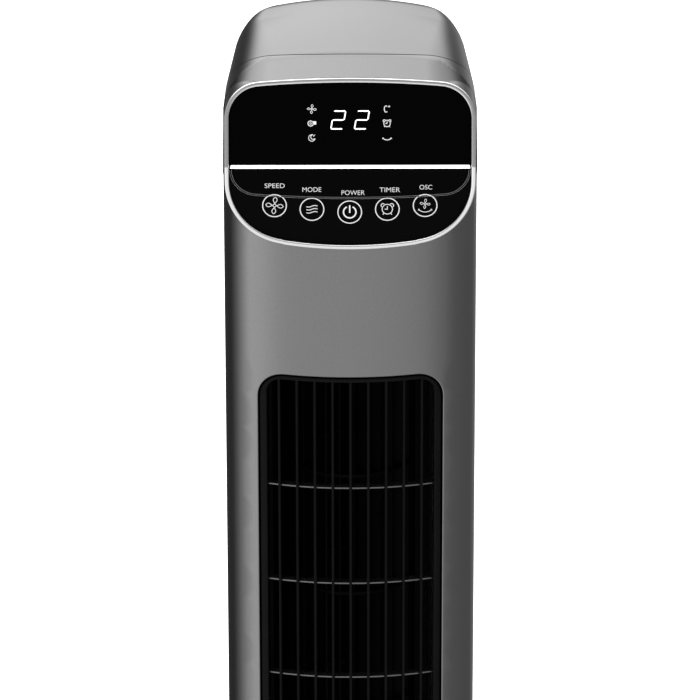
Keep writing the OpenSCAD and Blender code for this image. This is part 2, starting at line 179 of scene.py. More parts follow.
# What follows from the values above
FRONT_CY = FRONT_Y + FRONT_R
CORNER_X = HALF_W - CORNER_R
CORNER_Y = FRONT_CY - math.sqrt((FRONT_R - CORNER_R) ** 2 - CORNER_X ** 2)
BACK_CORNER_X = HALF_W - BACK_CORNER_R
BACK_CY = BACK_CORNER_Y - math.sqrt((BACK_R - BACK_CORNER_R) ** 2 - BACK_CORNER_X ** 2)
SHOULDER_Y = FRONT_Y + PANEL_RISE * math.sin(PANEL_LEAN)
SHOULDER_Z = KNEE_Z + PANEL_RISE * math.cos(PANEL_LEAN)
SEAM_Y = SHOULDER_Y + SEAM_DEEP
SEAM_Z = SHOULDER_Z + SEAM_RISE


# ---- Outlines

def arc(centre, radius, start, end, count):
    """Points of an arc, angles in radians, both ends included."""
    angles = np.linspace(start, end, count + 1)
    return np.stack([centre[0] + radius * np.cos(angles), centre[1] + radius * np.sin(angles)], axis=1)


def join(*runs):
    """Joins runs of points, dropping the doubled point where two runs meet."""
    return np.concatenate([runs[0], *(run[1:] for run in runs[1:])])


def half_plan(step):
    """Right half of the column's outline from above, from the front centre round to the back centre."""
    front_end = math.atan2(CORNER_Y - FRONT_CY, CORNER_X)
    back_start = math.atan2(BACK_CORNER_Y - BACK_CY, BACK_CORNER_X)

    def bend(x, y, radius, start, end):
        return arc((x, y), radius, start, end, max(4, round(radius * (end - start) / step)))

    def side(low, high):
        return np.linspace([HALF_W, low], [HALF_W, high], max(3, round((high - low) / step)))

    return join(
        bend(0, FRONT_CY, FRONT_R, -math.pi / 2, front_end),
        bend(CORNER_X, CORNER_Y, CORNER_R, front_end, 0),
        side(CORNER_Y, SPLIT_Y),
        side(SPLIT_Y, BACK_CORNER_Y),
        bend(BACK_CORNER_X, BACK_CORNER_Y, BACK_CORNER_R, 0, back_start),
        bend(0, BACK_CY, BACK_R, back_start, math.pi / 2),
    )


def run_length(points):
    """Distance along a run of points, from its first."""
    steps = np.hypot(*np.diff(points, axis=0).T)
    return np.concatenate([[0], np.cumsum(steps)])


FINE_PLAN = half_plan(0.25 * MM)
FINE_U = run_length(FINE_PLAN)
GIRTH_HALF = FINE_U[-1]
FRONT_STEPS = FINE_PLAN[:, 1] <= SPLIT_Y + 1e-9
SPLIT_U = FINE_U[FRONT_STEPS][-1]


def plan_point(u):
    """Point on the column at distance u round from the front centre; negative u is to the left."""
    u = np.asarray(u, float)
    x = np.interp(np.abs(u), FINE_U, FINE_PLAN[:, 0]) * np.sign(u)
    return x, np.interp(np.abs(u), FINE_U, FINE_PLAN[:, 1])


def front_u(x):
    """Distance round from the front centre of the point x across, on the front half."""
    return np.interp(np.abs(x), FINE_PLAN[FRONT_STEPS, 0], FINE_U[FRONT_STEPS]) * np.sign(x)


def back_v(x):
    """Distance round from the back centre of the point x across, on the back half."""
    steps = ~FRONT_STEPS
    return np.interp(np.abs(x), FINE_PLAN[steps, 0][::-1], GIRTH_HALF - FINE_U[steps][::-1]) * np.sign(x)


def inside(points, outline):
    """Which of the points lie inside a closed outline."""
    x, y = np.asarray(points, float).T
    hit = np.zeros(len(x), bool)
    for (x0, y0), (x1, y1) in zip(outline, np.roll(outline, -1, axis=0)):
        if y0 == y1:
            continue
        crosses = (y0 > y) != (y1 > y)
        hit ^= crosses & (x < x0 + (y - y0) * (x1 - x0) / (y1 - y0))
    return hit


def mirrored(right):
    """Closed outline from its right half, which starts and ends on the middle line."""
    return np.concatenate([right, right[1:-1][::-1] * [-1, 1]])


def panel_outline(inset=0.0, count=14):
    """Counter-clockwise outline of the panel as (x, s), inset from the bezel's outer edge."""
    top_c = (0, PANEL_RISE - PANEL_TOP_R)
    low_c = (0, PANEL_LOW_R - PANEL_DROP)
    top_x = PANEL_HALF - PANEL_TOP_CORNER_R
    low_x = PANEL_HALF - PANEL_LOW_CORNER_R
    top_a = math.atan2(PANEL_TOP_CORNER_S - top_c[1], top_x)
    low_a = math.atan2(PANEL_LOW_CORNER_S - low_c[1], low_x)
    low = arc(low_c, PANEL_LOW_R - inset, -math.pi / 2, low_a, count)
    right_low = arc((low_x, PANEL_LOW_CORNER_S), PANEL_LOW_CORNER_R - inset, low_a, 0, count)
    knee = np.array([[PANEL_HALF - inset, s] for s in (-KNEE_SOFT, 0, KNEE_SOFT)])
    right_top = arc((top_x, PANEL_TOP_CORNER_S), PANEL_TOP_CORNER_R - inset, 0, top_a, count)
    top = arc(top_c, PANEL_TOP_R - inset, top_a, math.pi / 2, count)
    return mirrored(np.concatenate([low[:-1], right_low, knee, right_top, top[1:]]))


def panel_point(x, s, h):
    """Place in space of a point on the kneed panel."""
    s = np.asarray(s, float)
    lean = PANEL_LEAN * np.clip((s + KNEE_SOFT) / (2 * KNEE_SOFT), 0, 1)
    up = np.maximum(s, 0)
    down = np.minimum(s, 0)
    y = FRONT_Y + up * math.sin(PANEL_LEAN) - h * np.cos(lean)
    z = KNEE_Z + up * math.cos(PANEL_LEAN) + down + h * np.sin(lean)
    return np.stack(np.broadcast_arrays(x, y, z), axis=-1)


# ---- Column form

def plan_distance(x, y):
    """Signed distance outside the column's outline, seen from above."""
    ax = np.abs(x)
    front = np.hypot(ax, y - FRONT_CY) - FRONT_R
    corner = np.hypot(ax - CORNER_X, y - CORNER_Y) - CORNER_R
    back = np.hypot(ax, y - BACK_CY) - BACK_R
    back_corner = np.hypot(ax - BACK_CORNER_X, y - BACK_CORNER_Y) - BACK_CORNER_R
    by_front = ax * (FRONT_CY - CORNER_Y) < CORNER_X * (FRONT_CY - y)
    by_back = ax * (BACK_CORNER_Y - BACK_CY) < BACK_CORNER_X * (y - BACK_CY)
    distance = ax - HALF_W
    distance = np.where(y < CORNER_Y, np.where(by_front, front, corner), distance)
    return np.where(y > BACK_CORNER_Y, np.where(by_back, back, back_corner), distance)


def round_max(a, b, radius):
    """Intersection of two distances with a rounded edge."""
    outside = np.hypot(np.maximum(a + radius, 0), np.maximum(b + radius, 0))
    return np.minimum(np.maximum(a, b), -radius) + outside


def half_width(y, z):
    """Half the column's width near its top: a slight taper, then a lean that starts higher at the front."""
    start = CAP_LEAN_Z + CAP_LEAN_RISE * np.maximum(BACK_CORNER_Y - y, 0)
    above = np.hypot(np.maximum(z - start, 0), CAP_LEAN_SOFT) - CAP_LEAN_SOFT
    risen = np.clip((z - TAPER_Z) / TAPER_RISE, 0, 1)
    return HALF_W - TAPER * risen ** 2 * (3 - 2 * risen) - math.tan(CAP_LEAN) * above


def dome_distance(x, y, z):
    """Signed distance outside the top of the column: panel, shoulder, crowned cap and walls that lean in."""
    half = half_width(y, z)
    walls = plan_distance(np.abs(x) + (HALF_W - half) * (np.abs(x) / half) ** 3, np.maximum(y, CORNER_Y))
    panel = (FRONT_Y - y) * math.cos(PANEL_LEAN) + (z - KNEE_Z) * math.sin(PANEL_LEAN) + POD_DEEP
    shoulder_y = SHOULDER_Y + POD_DEEP * math.cos(PANEL_LEAN)
    shoulder_z = SHOULDER_Z - POD_DEEP * math.sin(PANEL_LEAN)
    crown = np.square(x) / (2 * CAP_CROWN_R)
    shoulder_rise = z + SHOULDER_CROWN * crown - shoulder_z
    shoulder = (shoulder_y - y) * math.cos(SHOULDER_LEAN) + shoulder_rise * math.sin(SHOULDER_LEAN)
    along = (y - CAP_TOP_Y) / (CAP_TOP_Y - SEAM_Y)
    forward = np.clip((CAP_FLAT_Y - y) / (CAP_FLAT_Y - SEAM_Y), 0, 1)
    bend = np.square(np.maximum(y - CAP_BEND_Y, 0)) / (2 * CAP_BEND_R)
    crown = crown * (CAP_CROWN_BACK + (1 - CAP_CROWN_BACK) * forward)
    cap = z + crown + bend - (SEAM_Z + CAP_RISE * (1 - along ** 2))
    top = round_max(round_max(panel, shoulder, SHOULDER_EDGE_R), cap, CAP_EDGE_R)
    radius = CAP_SIDE_R + (SHOULDER_SIDE_R - CAP_SIDE_R) * forward
    return round_max(top, walls, radius)


def form_normals(points):
    """Outward normals of the column's form, at points on its upright part or on its top."""
    step = 0.02 * MM
    slopes = []
    for distance in (lambda p: plan_distance(p[:, 0], p[:, 1]), lambda p: dome_distance(*p.T)):
        slopes.append(np.stack([distance(points + step * axis) - distance(points - step * axis)
                                for axis in np.eye(3)], axis=1))
    level = 0.001 * MM
    off_column = np.abs(plan_distance(points[:, 0], points[:, 1]))
    off_dome = np.abs(dome_distance(*points.T))
    z = points[:, 2]
    upright = (z < DOME_Z - level) | ((z < DOME_Z + level) & (off_column < off_dome))
    slope = np.where(upright[:, None], *slopes)
    return slope / np.linalg.norm(slope, axis=1)[:, None]


# ---- Mesh tools

def linked(name, data):
    """New object in the scene."""
    made = bpy.data.objects.new(name, data)
    bpy.context.scene.collection.objects.link(made)
    return made


def new_object(name, mesh, node_material):
    """Puts a mesh in the scene with its material."""
    piece = linked(name, mesh)
    mesh.materials.append(node_material)
    return piece


def mesh_from(name, points, faces, smooth=True):
    mesh = bpy.data.meshes.new(name)
    mesh.from_pydata([tuple(p) for p in points], [], [tuple(f) for f in faces])
    mesh.validate()
    for polygon in mesh.polygons:
        polygon.use_smooth = smooth
    return mesh


def grid_faces(rows, columns, closed=False, looped=False):
    """Quads of a grid of points. Closed joins the ends of each row, looped the last row to the first."""
    faces = []
    for row in range(rows if looped else rows - 1):
        low = row * columns
        high = (row + 1) % rows * columns
        for c in range(columns if closed else columns - 1):
            d = (c + 1) % columns
            faces.append((low + c, low + d, high + d, high + c))
    return faces


def triangulate(outline, holes, inner):
    """Triangles that fill an outline around its holes, using the inner points too."""
    points, edges = [], []
    for loop in (outline, *holes):
        start = len(points)
        points += [Vector(p) for p in loop]
        edges += [(start + i, start + (i + 1) % len(loop)) for i in range(len(loop))]
    points += [Vector(p) for p in inner]
    flat, _, faces, *_ = delaunay_2d_cdt(points, edges, [], 0, 1e-7)
    flat = np.array(flat)
    centres = np.array([flat[list(f)].mean(axis=0) for f in faces])
    keep = inside(centres, outline)
    for hole in holes:
        keep &= ~inside(centres, hole)
    return flat, [f for f, k in zip(faces, keep) if k]


def inner_grid(outline, holes, step_x, step_y, clear):
    """Grid points inside an outline, clear of its edges and its holes."""
    low, high = outline.min(axis=0), outline.max(axis=0)
    xs = np.linspace(low[0], high[0], max(2, round((high[0] - low[0]) / step_x)) + 1)[1:-1]
    ys = np.linspace(low[1], high[1], max(2, round((high[1] - low[1]) / step_y)) + 1)[1:-1]
    points = np.stack(np.meshgrid(xs, ys), axis=-1).reshape(-1, 2)
    keep = inside(points, outline)
    for loop in (outline, *holes):
        away = points[:, None] - loop[None]
        keep &= np.min(np.hypot(away[..., 0], away[..., 1]), axis=1) > clear
    for hole in holes:
        keep &= ~inside(points, hole)
    return points[keep]


def set_form_normals(mesh, count):
    """Gives the first faces of a mesh the exact normals of the column's form."""
    points = np.array([v.co for v in mesh.vertices])
    normals = form_normals(points)
    loops = np.zeros((len(mesh.loops), 3))
    for polygon in mesh.polygons[:count]:
        for loop in polygon.loop_indices:
            loops[loop] = normals[mesh.loops[loop].vertex_index]
    mesh.normals_split_custom_set([tuple(n) for n in loops])


# ---- Materials

def material(name, colour, roughness, metallic=0.0, coat=0.0, specular=0.5, ior=1.5):
    """New node material and its shader, with the values that are the same all over set on the sockets."""
    made = bpy.data.materials.new(name)
    made.use_nodes = True
    shader = made.node_tree.nodes["Principled BSDF"]
    values = {"Base Color": (*colour, 1), "Roughness": roughness, "Metallic": metallic, "Coat Weight": coat,
              "Coat Roughness": 0.08, "Specular IOR Level": specular, "IOR": ior}
    for socket, value in values.items():
        shader.inputs[socket].default_value = value
    return made, shader


def add_node(made, kind, **values):
    node = made.node_tree.nodes.new(kind)
    for name, value in values.items():
        node.inputs[name].default_value = value
    return node


def noise(made, scale, detail=2.0, stretch=(1, 1, 1)):
    """Noise laid out in the object's own space, in metres."""
    place = made.node_tree.nodes.new("ShaderNodeTexCoord")
    mapping = add_node(made, "ShaderNodeMapping", Scale=stretch)
    texture = add_node(made, "ShaderNodeTexNoise", Scale=scale, Detail=detail)
    link = made.node_tree.links.new
    link(place.outputs["Object"], mapping.inputs["Vector"])
    link(mapping.outputs["Vector"], texture.inputs["Vector"])
    return texture


def vary_colour(made, shader, texture, low, high):
    """Base colour that moves between two shades with a texture."""
    shades = made.node_tree.nodes.new("ShaderNodeValToRGB")
    for element, position, colour in zip(shades.color_ramp.elements, (0.35, 0.65), (low, high)):
        element.position = position
        element.color = (*colour, 1)
    made.node_tree.links.new(texture.outputs["Fac"], shades.inputs["Fac"])
    made.node_tree.links.new(shades.outputs["Color"], shader.inputs["Base Color"])


def vary_roughness(made, shader, texture, low, high):
    """Roughness that moves between two values with a texture."""
    spread = add_node(made, "ShaderNodeMapRange", **{"To Min": low, "To Max": high})
    made.node_tree.links.new(texture.outputs["Fac"], spread.inputs["Value"])
    made.node_tree.links.new(spread.outputs["Result"], shader.inputs["Roughness"])


def add_bump(made, shader, texture, strength, depth):
    bump = add_node(made, "ShaderNodeBump", Strength=strength, Distance=depth)
    made.node_tree.links.new(texture.outputs["Fac"], bump.inputs["Height"])
    made.node_tree.links.new(bump.outputs["Normal"], shader.inputs["Normal"])


def metallic_paint(name, shade, roughness):
    """Sprayed metallic paint: fine flakes, a faint orange peel and a soft clear coat."""
    made, shader = material(name, (shade,) * 3, roughness, metallic=1.0, coat=0.1)
    flakes = noise(made, 2600, 3)
    vary_colour(made, shader, flakes, (shade * 0.93,) * 3, (shade * 1.07, shade * 1.07, shade * 1.08))
    vary_roughness(made, shader, noise(made, 30, 4), roughness * 0.94, roughness * 1.06)
    add_bump(made, shader, noise(made, 420, 2), 0.06, 0.02 * MM)
    return made


def moulded(name, shade, roughness, grain=900, strength=0.25, specular=0.5, ior=1.5):
    """Moulded plastic with a fine spark-eroded grain."""
    made, shader = material(name, (shade,) * 3, roughness, specular=specular, ior=ior)
    vary_colour(made, shader, noise(made, 60, 4), (shade * 0.9,) * 3, (shade * 1.1,) * 3)
    vary_roughness(made, shader, noise(made, 25, 3), roughness * 0.92, roughness * 1.08)
    add_bump(made, shader, noise(made, grain, 3), strength, 0.05 * MM)
    return made


def gloss_black(name, shade, roughness):
    """Glossy black with very little glare, its gloss slightly uneven."""
    made, shader = material(name, (shade, shade, shade * 1.1), roughness, specular=0.015)
    vary_roughness(made, shader, noise(made, 12, 3), roughness * 0.8, roughness * 1.3)
    return made


def polished(name, colour, roughness):
    """Plated metal with a satin gloss."""
    made, shader = material(name, colour, roughness, metallic=1.0)
    vary_roughness(made, shader, noise(made, 40, 3), roughness * 0.85, roughness * 1.15)
    return made


def brushed(name, colour, roughness):
    """Rolled and plated steel with a fine directional brush."""
    made, shader = material(name, colour, roughness, metallic=1.0)
    grain = noise(made, 500, 3, stretch=(1, 1, 0.04))
    vary_roughness(made, shader, grain, roughness * 0.8, roughness * 1.2)
    add_bump(made, shader, grain, 0.15, 0.02 * MM)
    return made


def glowing(name, colour, strength):
    """Glow for lit print, white ink with a light behind it, and for the painted highlights along the lens
    edge and over the panel's knee; slightly uneven like a real light guide.
    """
    made, shader = material(name, colour, 0.4)
    shader.inputs["Emission Color"].default_value = (*colour, 1)
    uneven = add_node(made, "ShaderNodeMapRange", **{"To Min": strength * 0.94, "To Max": strength * 1.06})
    made.node_tree.links.new(noise(made, 160, 2).outputs["Fac"], uneven.inputs["Value"])
    made.node_tree.links.new(uneven.outputs["Result"], shader.inputs["Emission Strength"])
    return made


SHELL_PAINT = metallic_paint("shell_paint", 0.20, 0.25)
# The cap has the shell's paint, here made darker: painted shade over the whole cap.
SHADED_CAP_PAINT = metallic_paint("cap_paint", 0.17, 0.25)
BASE_PAINT = metallic_paint("base_paint", 0.18, 0.28)
CHROME = polished("bezel_chrome", (0.82, 0.82, 0.83), 0.24)
PANEL_BLACK = gloss_black("panel_black", 0.0015, 0.10)
LENS_BLACK = gloss_black("lens_black", 0.001, 0.07)
GRILLE_BLACK = moulded("grille_black", 0.003, 0.42, specular=0.055)
RIB_BLACK = moulded("rib_black", 0.01, 0.2, strength=0.05, specular=1.0, ior=1.75)
LIT = glowing("lit_white", (0.8, 0.8, 0.8), 1.2)
PRINT = glowing("print_white", (0.35, 0.35, 0.35), 1.15)
SIGNS = glowing("lit_sign", (0.45, 0.45, 0.45), 1.0)
# Glowing grey for the lens's lower edge: a painted highlight.
LENS_EDGE_HIGHLIGHT = glowing("painted_edge_highlight", (0.16, 0.16, 0.16), 0.2)
# Glowing white for the strip over the panel's knee: a painted highlight along the bend.
KNEE_HIGHLIGHT = glowing("strip_white", (1.0, 1.0, 1.0), 0.9)

FINISHES = {
    "rear_plastic": moulded("rear_plastic", 0.05, 0.48),
    "inner_plastic": moulded("inner_plastic", 0.002, 0.6, specular=0.04),
    "impeller_plastic": moulded("impeller_plastic", 0.002, 0.5, specular=0.04),
    "component_black": moulded("component_black", 0.02, 0.5),
    "circuit_board": moulded("circuit_board", 0.04, 0.4),
    "acetal": moulded("acetal", 0.75, 0.35, strength=0.1),
    "rubber": moulded("rubber", 0.02, 0.8, grain=600),
    "iron": moulded("iron", 0.16, 0.7, grain=300, strength=0.6),
    "steel": brushed("steel", (0.55, 0.55, 0.56), 0.32),
    "bronze": brushed("bronze", (0.62, 0.44, 0.22), 0.35),
    "copper_winding": brushed("copper_winding", (0.60, 0.30, 0.14), 0.35),
    "shell_paint": SHELL_PAINT,
    "cap_paint": SHADED_CAP_PAINT,
    "base_paint": BASE_PAINT,
    "bezel_chrome": CHROME,
    "panel_black": PANEL_BLACK,
    "lens_black": LENS_BLACK,
    "grille_black": GRILLE_BLACK,
    # The strip_white slot's glowing strip is a painted highlight along the panel's knee.
    "strip_white": KNEE_HIGHLIGHT,
}


def finish_frame():
    """Gives every CAD node the finish of its own slot."""
    slots = {part["node"]: part["material_slot"] for part in frame["record"]["subparts"]}
    for name, node in frame["nodes"].items():
        node.data.materials.clear()
        node.data.materials.append(FINISHES[slots[name]])


# ---- Casing

RIGHT_PLAN = half_plan(2.5 * MM)
RING_PLAN = mirrored(RIGHT_PLAN)


def dome_mesh():
    """The column's top as rings of points: level ones up to the dome's centre, then a fan over the top."""
    levels = [(z, 0.0) for z in np.linspace(DOME_Z, DOME_CENTRE[2], 10)]
    levels += [(DOME_CENTRE[2], math.radians(a)) for a in np.arange(0.8, 89.6, 0.8)]
    direction = RING_PLAN - np.array(DOME_CENTRE[:2])
    direction /= np.linalg.norm(direction, axis=1)[:, None]
    rows = []
    for z, rise in levels:
        ray = np.column_stack([direction * math.cos(rise), np.full(len(direction), math.sin(rise))])
        start = np.array([DOME_CENTRE[0], DOME_CENTRE[1], z])
        near = np.zeros(len(ray))
        far = np.full(len(ray), 200 * MM)
        for _ in range(36):  # halves the gap between a place inside and one outside
            middle = (near + far) / 2
            out = dome_distance(*(start + ray * middle[:, None]).T) > 0
            far = np.where(out, middle, far)
            near = np.where(out, near, middle)
        rows.append(start + ray * near[:, None])
    columns = len(RING_PLAN)
    last = (len(rows) - 1) * columns
    faces = grid_faces(len(rows), columns, closed=True)
    faces += [(last + c, last + (c + 1) % columns, last + columns) for c in range(columns)]
    crown = [[DOME_CENTRE[0], DOME_CENTRE[1], rows[-1][:, 2].mean()]]
    return np.concatenate([*rows, crown]), faces


DOME = dome_mesh()


def merge(parts):
    """Joins (points, faces) pairs into one."""
    points, faces = [], []
    for part_points, part_faces in parts:
        start = sum(len(p) for p in points)
        points.append(np.asarray(part_points))
        faces += [tuple(start + i for i in face) for face in part_faces]
    return np.concatenate(points), faces


def column_patch(border, holes, back=False):
    """Part of the upright column, from outlines in (distance round, height).

    The distance is measured from the front centre, or from the back centre for a back patch.
    """
    inner = inner_grid(border, holes, 4 * MM, 24 * MM, 1.2 * MM)
    flat, faces = triangulate(border, holes, inner)
    if not back:
        x, y = plan_point(flat[:, 0])
        return np.stack([x, y, flat[:, 1]], axis=1), faces
    x, y = plan_point(GIRTH_HALF - np.abs(flat[:, 0]))
    side = np.where(flat[:, 0] < 0, -1, 1)
    return np.stack([x * side, y, flat[:, 1]], axis=1), [f[::-1] for f in faces]


def patch_border(half, stations, low=COLUMN_Z):
    """Closed outline of the column's front or back, with the dome's own points along its top.

    The stations are the distances round to those points, on either side.
    """
    inner = {round(float(u), 7) for u in [*-stations, *stations] if abs(u) < half}
    top = np.array(sorted(inner | {-half, half}))
    rising = np.linspace(low, DOME_Z, 40)[:-1]
    bottom = np.linspace(-half, half, 60)[:-1]
    falling = np.linspace(low, DOME_Z, 40)[:0:-1]
    return np.concatenate([
        np.column_stack([bottom, np.full(len(bottom), low)]),
        np.column_stack([np.full(len(rising), half), rising]),
        np.column_stack([top[:0:-1], np.full(len(top) - 1, DOME_Z)]),
        np.column_stack([np.full(len(falling), -half), falling]),
    ])


def trimmed(points, faces, planes):
    """Keeps what lies behind each (place, normal) plane, and merges doubled points."""
    mesh = mesh_from("trim", points, faces)
    work = bmesh.new()
    work.from_mesh(mesh)
    for place, normal in planes:
        everything = [*work.verts, *work.edges, *work.faces]
        bmesh.ops.bisect_plane(work, geom=everything, dist=1e-7,
                               plane_co=place, plane_no=normal, clear_outer=True)
    bmesh.ops.remove_doubles(work, verts=work.verts, dist=0.02 * MM)
    work.verts.index_update()
    points = np.array([v.co for v in work.verts])
    faces = [tuple(v.index for v in f.verts) for f in work.faces]
    work.free()
    bpy.data.meshes.remove(mesh)
    return points, faces


def without_panel(points, faces):
    """Leaves out the dome's faces that lie behind the panel, well inside its bezel."""
    up = points[:, 2] - KNEE_Z
    s = np.where(up < 0, up, up / math.cos(PANEL_LEAN))
    behind = inside(np.stack([points[:, 0], s], axis=1), panel_outline(0.8 * MM))
    hidden = behind & (points[:, 1] < PANEL_BACK_Y)
    return points, [face for face in faces if not hidden[list(face)].all()]


def thickened(points, faces, normals, depth):
    """Closed shell: the faces, the same ones depth behind them, and a rim round every open edge."""
    count = len(points)
    sides = {(a, b): True for face in faces for a, b in zip(face, face[1:] + face[:1])}
    rim = [(b, a, a + count, b + count) for a, b in sides if (b, a) not in sides]
    inner = [tuple(i + count for i in face[::-1]) for face in faces]
    return np.concatenate([points, points - normals * depth]), [*faces, *inner, *rim]


def walled(points, faces, depth, facing_in):
    """Closed wall behind an open surface that faces its own middle, or away from it."""
    mesh = mesh_from("wall", points, faces)
    normals = np.array([v.normal for v in mesh.vertices])
    bpy.data.meshes.remove(mesh)
    outward = ((points - points.mean(axis=0)) * normals).sum() > 0
    if outward == facing_in:
        faces = [face[::-1] for face in faces]
        normals = -normals
    return thickened(points, faces, normals, depth)


def casing_skin(name, parts, planes, node_material):
    """A moulding of the casing: patches of the column's form, trimmed and given their wall."""
    points, faces = trimmed(*merge(parts), planes)
    points, closed = thickened(points, faces, form_normals(points), WALL)
    mesh = mesh_from(name, points, closed, smooth=False)
    for polygon in mesh.polygons[:len(faces)]:
        polygon.use_smooth = True
    set_form_normals(mesh, len(faces))
    return tower_piece(name, mesh, node_material)


def tower_piece(name, mesh, node_material):
    """Piece that turns with the tower."""
    piece = new_object(name, mesh, node_material)
    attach(piece, "tower")
    return piece


def soften(piece, angle=40):
    """Smooth shading that keeps the edges sharper than an angle."""
    work = bmesh.new()
    work.from_mesh(piece.data)
    for edge in work.edges:
        edge.smooth = len(edge.link_faces) == 2 and edge.calc_face_angle(0) < math.radians(angle)
    for face in work.faces:
        face.smooth = True
    work.to_mesh(piece.data)
    work.free()


def recalculated(mesh):
    """Turns all the faces of closed pieces outwards."""
    work = bmesh.new()
    work.from_mesh(mesh)
    bmesh.ops.recalc_face_normals(work, faces=work.faces)
    work.to_mesh(mesh)
    work.free()
    return mesh


def closed_piece(name, points, faces, slot, node_material, angle=40):
    """Solid piece on the tower, its faces turned outwards and its sharp edges kept."""
    mesh = recalculated(mesh_from(name, points, faces))
    piece = tower_piece(name, mesh, node_material)
    soften(piece, angle)
    return piece


SEAM_UP = Vector((0, math.sin(SEAM_SLOPE), math.cos(SEAM_SLOPE)))
SEAM_MID = Vector((0, SEAM_Y, SEAM_Z))
TO_BACK = Vector((0, 1, 0))


def build_front_shell():
    """Front moulding: the column's front with its outlet opening, and the shoulder behind the panel."""
    half = SPLIT_U - SPLIT_GAP / 2
    lip = ring(OUTLET_HALF + LIP_R, OUTLET_LOW - LIP_R, OUTLET_HIGH + LIP_R, OUTLET_CORNER_R + LIP_R)
    opening = np.stack([front_u(lip[:, 0]), lip[:, 1]], axis=1)
    pod = panel_outline(1 * MM)
    behind_panel = np.stack([front_u(pod[:, 0]), KNEE_Z + pod[:, 1]], axis=1)
    skin = column_patch(patch_border(half, run_length(RIGHT_PLAN)), [opening, behind_panel])
    planes = [(SEAM_MID - SEAM_UP * SEAM_GAP / 2, SEAM_UP), (TO_BACK * (SPLIT_Y - SPLIT_GAP / 2), TO_BACK)]
    parts = [skin, without_panel(*DOME)]
    shell = casing_skin("front_shell_skin", parts, planes, SHELL_PAINT)
    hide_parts("front_shell")


def build_rear_shell():
    """Rear moulding with the inlet opening and the screw recesses."""
    half = GIRTH_HALF - SPLIT_U - SPLIT_GAP / 2
    play = 0.3 * MM
    edge = ring(INLET_HALF + play, INLET_LOW - play, INLET_HIGH + play, INLET_CORNER_R)
    holes = [np.stack([back_v(edge[:, 0]), edge[:, 1]], axis=1)]
    recesses = []
    for side, z in itertools.product((-1, 1), SCREW_Z):
        mouth = circle((side * SCREW_X, z), SCREW_RECESS_R, 20)
        v = back_v(mouth[:, 0])
        holes.append(np.stack([v, mouth[:, 1]], axis=1))
        _, wall_y = plan_point(GIRTH_HALF - np.abs(v))
        floor_y = np.full(len(mouth), SPLIT_Y + SCREW_BOSS_DEEP)
        rows = [np.stack([mouth[:, 0], y, mouth[:, 1]], axis=1) for y in (wall_y, floor_y)]
        faces = grid_faces(2, len(mouth), closed=True)
        recesses.append(walled(np.concatenate(rows), faces, 1 * MM, facing_in=True))
    skin = column_patch(patch_border(half, run_length(RIGHT_PLAN[::-1])), holes, back=True)
    planes = [(SEAM_MID - SEAM_UP * SEAM_GAP / 2, SEAM_UP), (TO_BACK * (SPLIT_Y + SPLIT_GAP / 2), -TO_BACK)]
    shell = casing_skin("rear_shell_skin", [skin, DOME], planes, SHELL_PAINT)
    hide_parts("rear_shell")
    tower_piece("screw_recesses", mesh_from("screw_recesses", *merge(recesses)), SHELL_PAINT)


def build_top_cap():
    """Cap behind the slanted seam, with a skirt that runs down the back."""
    border = patch_border(GIRTH_HALF - SPLIT_U, run_length(RIGHT_PLAN[::-1]), low=DOME_Z - CAP_SKIRT)
    planes = [(SEAM_MID + SEAM_UP * SEAM_GAP / 2, -SEAM_UP)]
    parts = [column_patch(border, [], back=True), DOME]
    cap = casing_skin("top_cap_skin", parts, planes, SHADED_CAP_PAINT)
    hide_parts("top_cap")


def ring(half_w, low, high, radius):
    """Rounded rectangle centred on x = 0, with the same count of points whatever its size."""
    right = half_w - radius
    centres = [(right, high - radius), (-right, high - radius), (-right, low + radius), (right, low + radius)]
    quarter = math.pi / 2
    corners = [arc(centre, radius, k * quarter, (k + 1) * quarter, 10) for k, centre in enumerate(centres)]
    points = []
    for k, corner in enumerate(corners):
        points.append(corner)
        points.append(np.linspace(corner[-1], corners[(k + 1) % 4][0], (11, 41)[k % 2])[1:-1])
    return np.concatenate(points)


def on_front(x, z, deep):
    """Points at a depth behind the column's crowned front, deep along +Y."""
    y = FRONT_CY - np.sqrt(FRONT_R ** 2 - np.square(x)) + deep
    return np.stack(np.broadcast_arrays(x, y, z), axis=-1)


def on_back(x, z, deep):
    """Points at a depth in front of the column's rounded back, deep along -Y."""
    y = BACK_CY + np.sqrt(BACK_R ** 2 - np.square(x)) - deep
    return np.stack(np.broadcast_arrays(x, y, z), axis=-1)


def swept_ring(rows, place, looped=False):
    """Loft through (outline, depth) rows on the front or the back of the column."""
    points = np.concatenate([place(flat[:, 0], flat[:, 1], deep) for flat, deep in rows])
    return points, grid_faces(len(rows), len(rows[0][0]), closed=True, looped=looped)


def build_outlet_lip():
    """Rounded edge round the outlet, turning from the column's face into its depth."""
    rows = []
    for turn in np.linspace(0, math.pi / 2, 6):
        grow = LIP_R * (1 - math.sin(turn))
        outline = ring(OUTLET_HALF + grow, OUTLET_LOW - grow, OUTLET_HIGH + grow, OUTLET_CORNER_R + grow)
        rows.append((outline, LIP_R * (1 - math.cos(turn))))
    rows.append((rows[-1][0], LIP_DEEP))
    mesh = mesh_from("outlet_lip", *walled(*swept_ring(rows, on_front), LINER, facing_in=True))
    soften(tower_piece("outlet_lip", mesh, SHELL_PAINT))


def build_pod_wall():
    """Side wall of the panel's flat pod, from behind the bezel back to the column's straight side."""
    edge = panel_outline(POD_INSET)
    start = panel_point(edge[:, 0], edge[:, 1], -BEZEL_DEEP + 1 * MM)
    widest = half_width(CORNER_Y, start[:, 2]) - 0.5 * MM
    end = start.copy()
    end[:, 0] = np.clip(start[:, 0], -widest, widest)
    end[:, 1] = CORNER_Y
    rows = [start + (end - start) * depth for depth in np.linspace(0, 1, 12)]
    faces = grid_faces(len(rows), len(edge), closed=True)
    mesh = mesh_from("panel_pod", *walled(np.concatenate(rows), faces, LINER, facing_in=False))
    soften(tower_piece("panel_pod", mesh, SHELL_PAINT))


# ---- Grilles

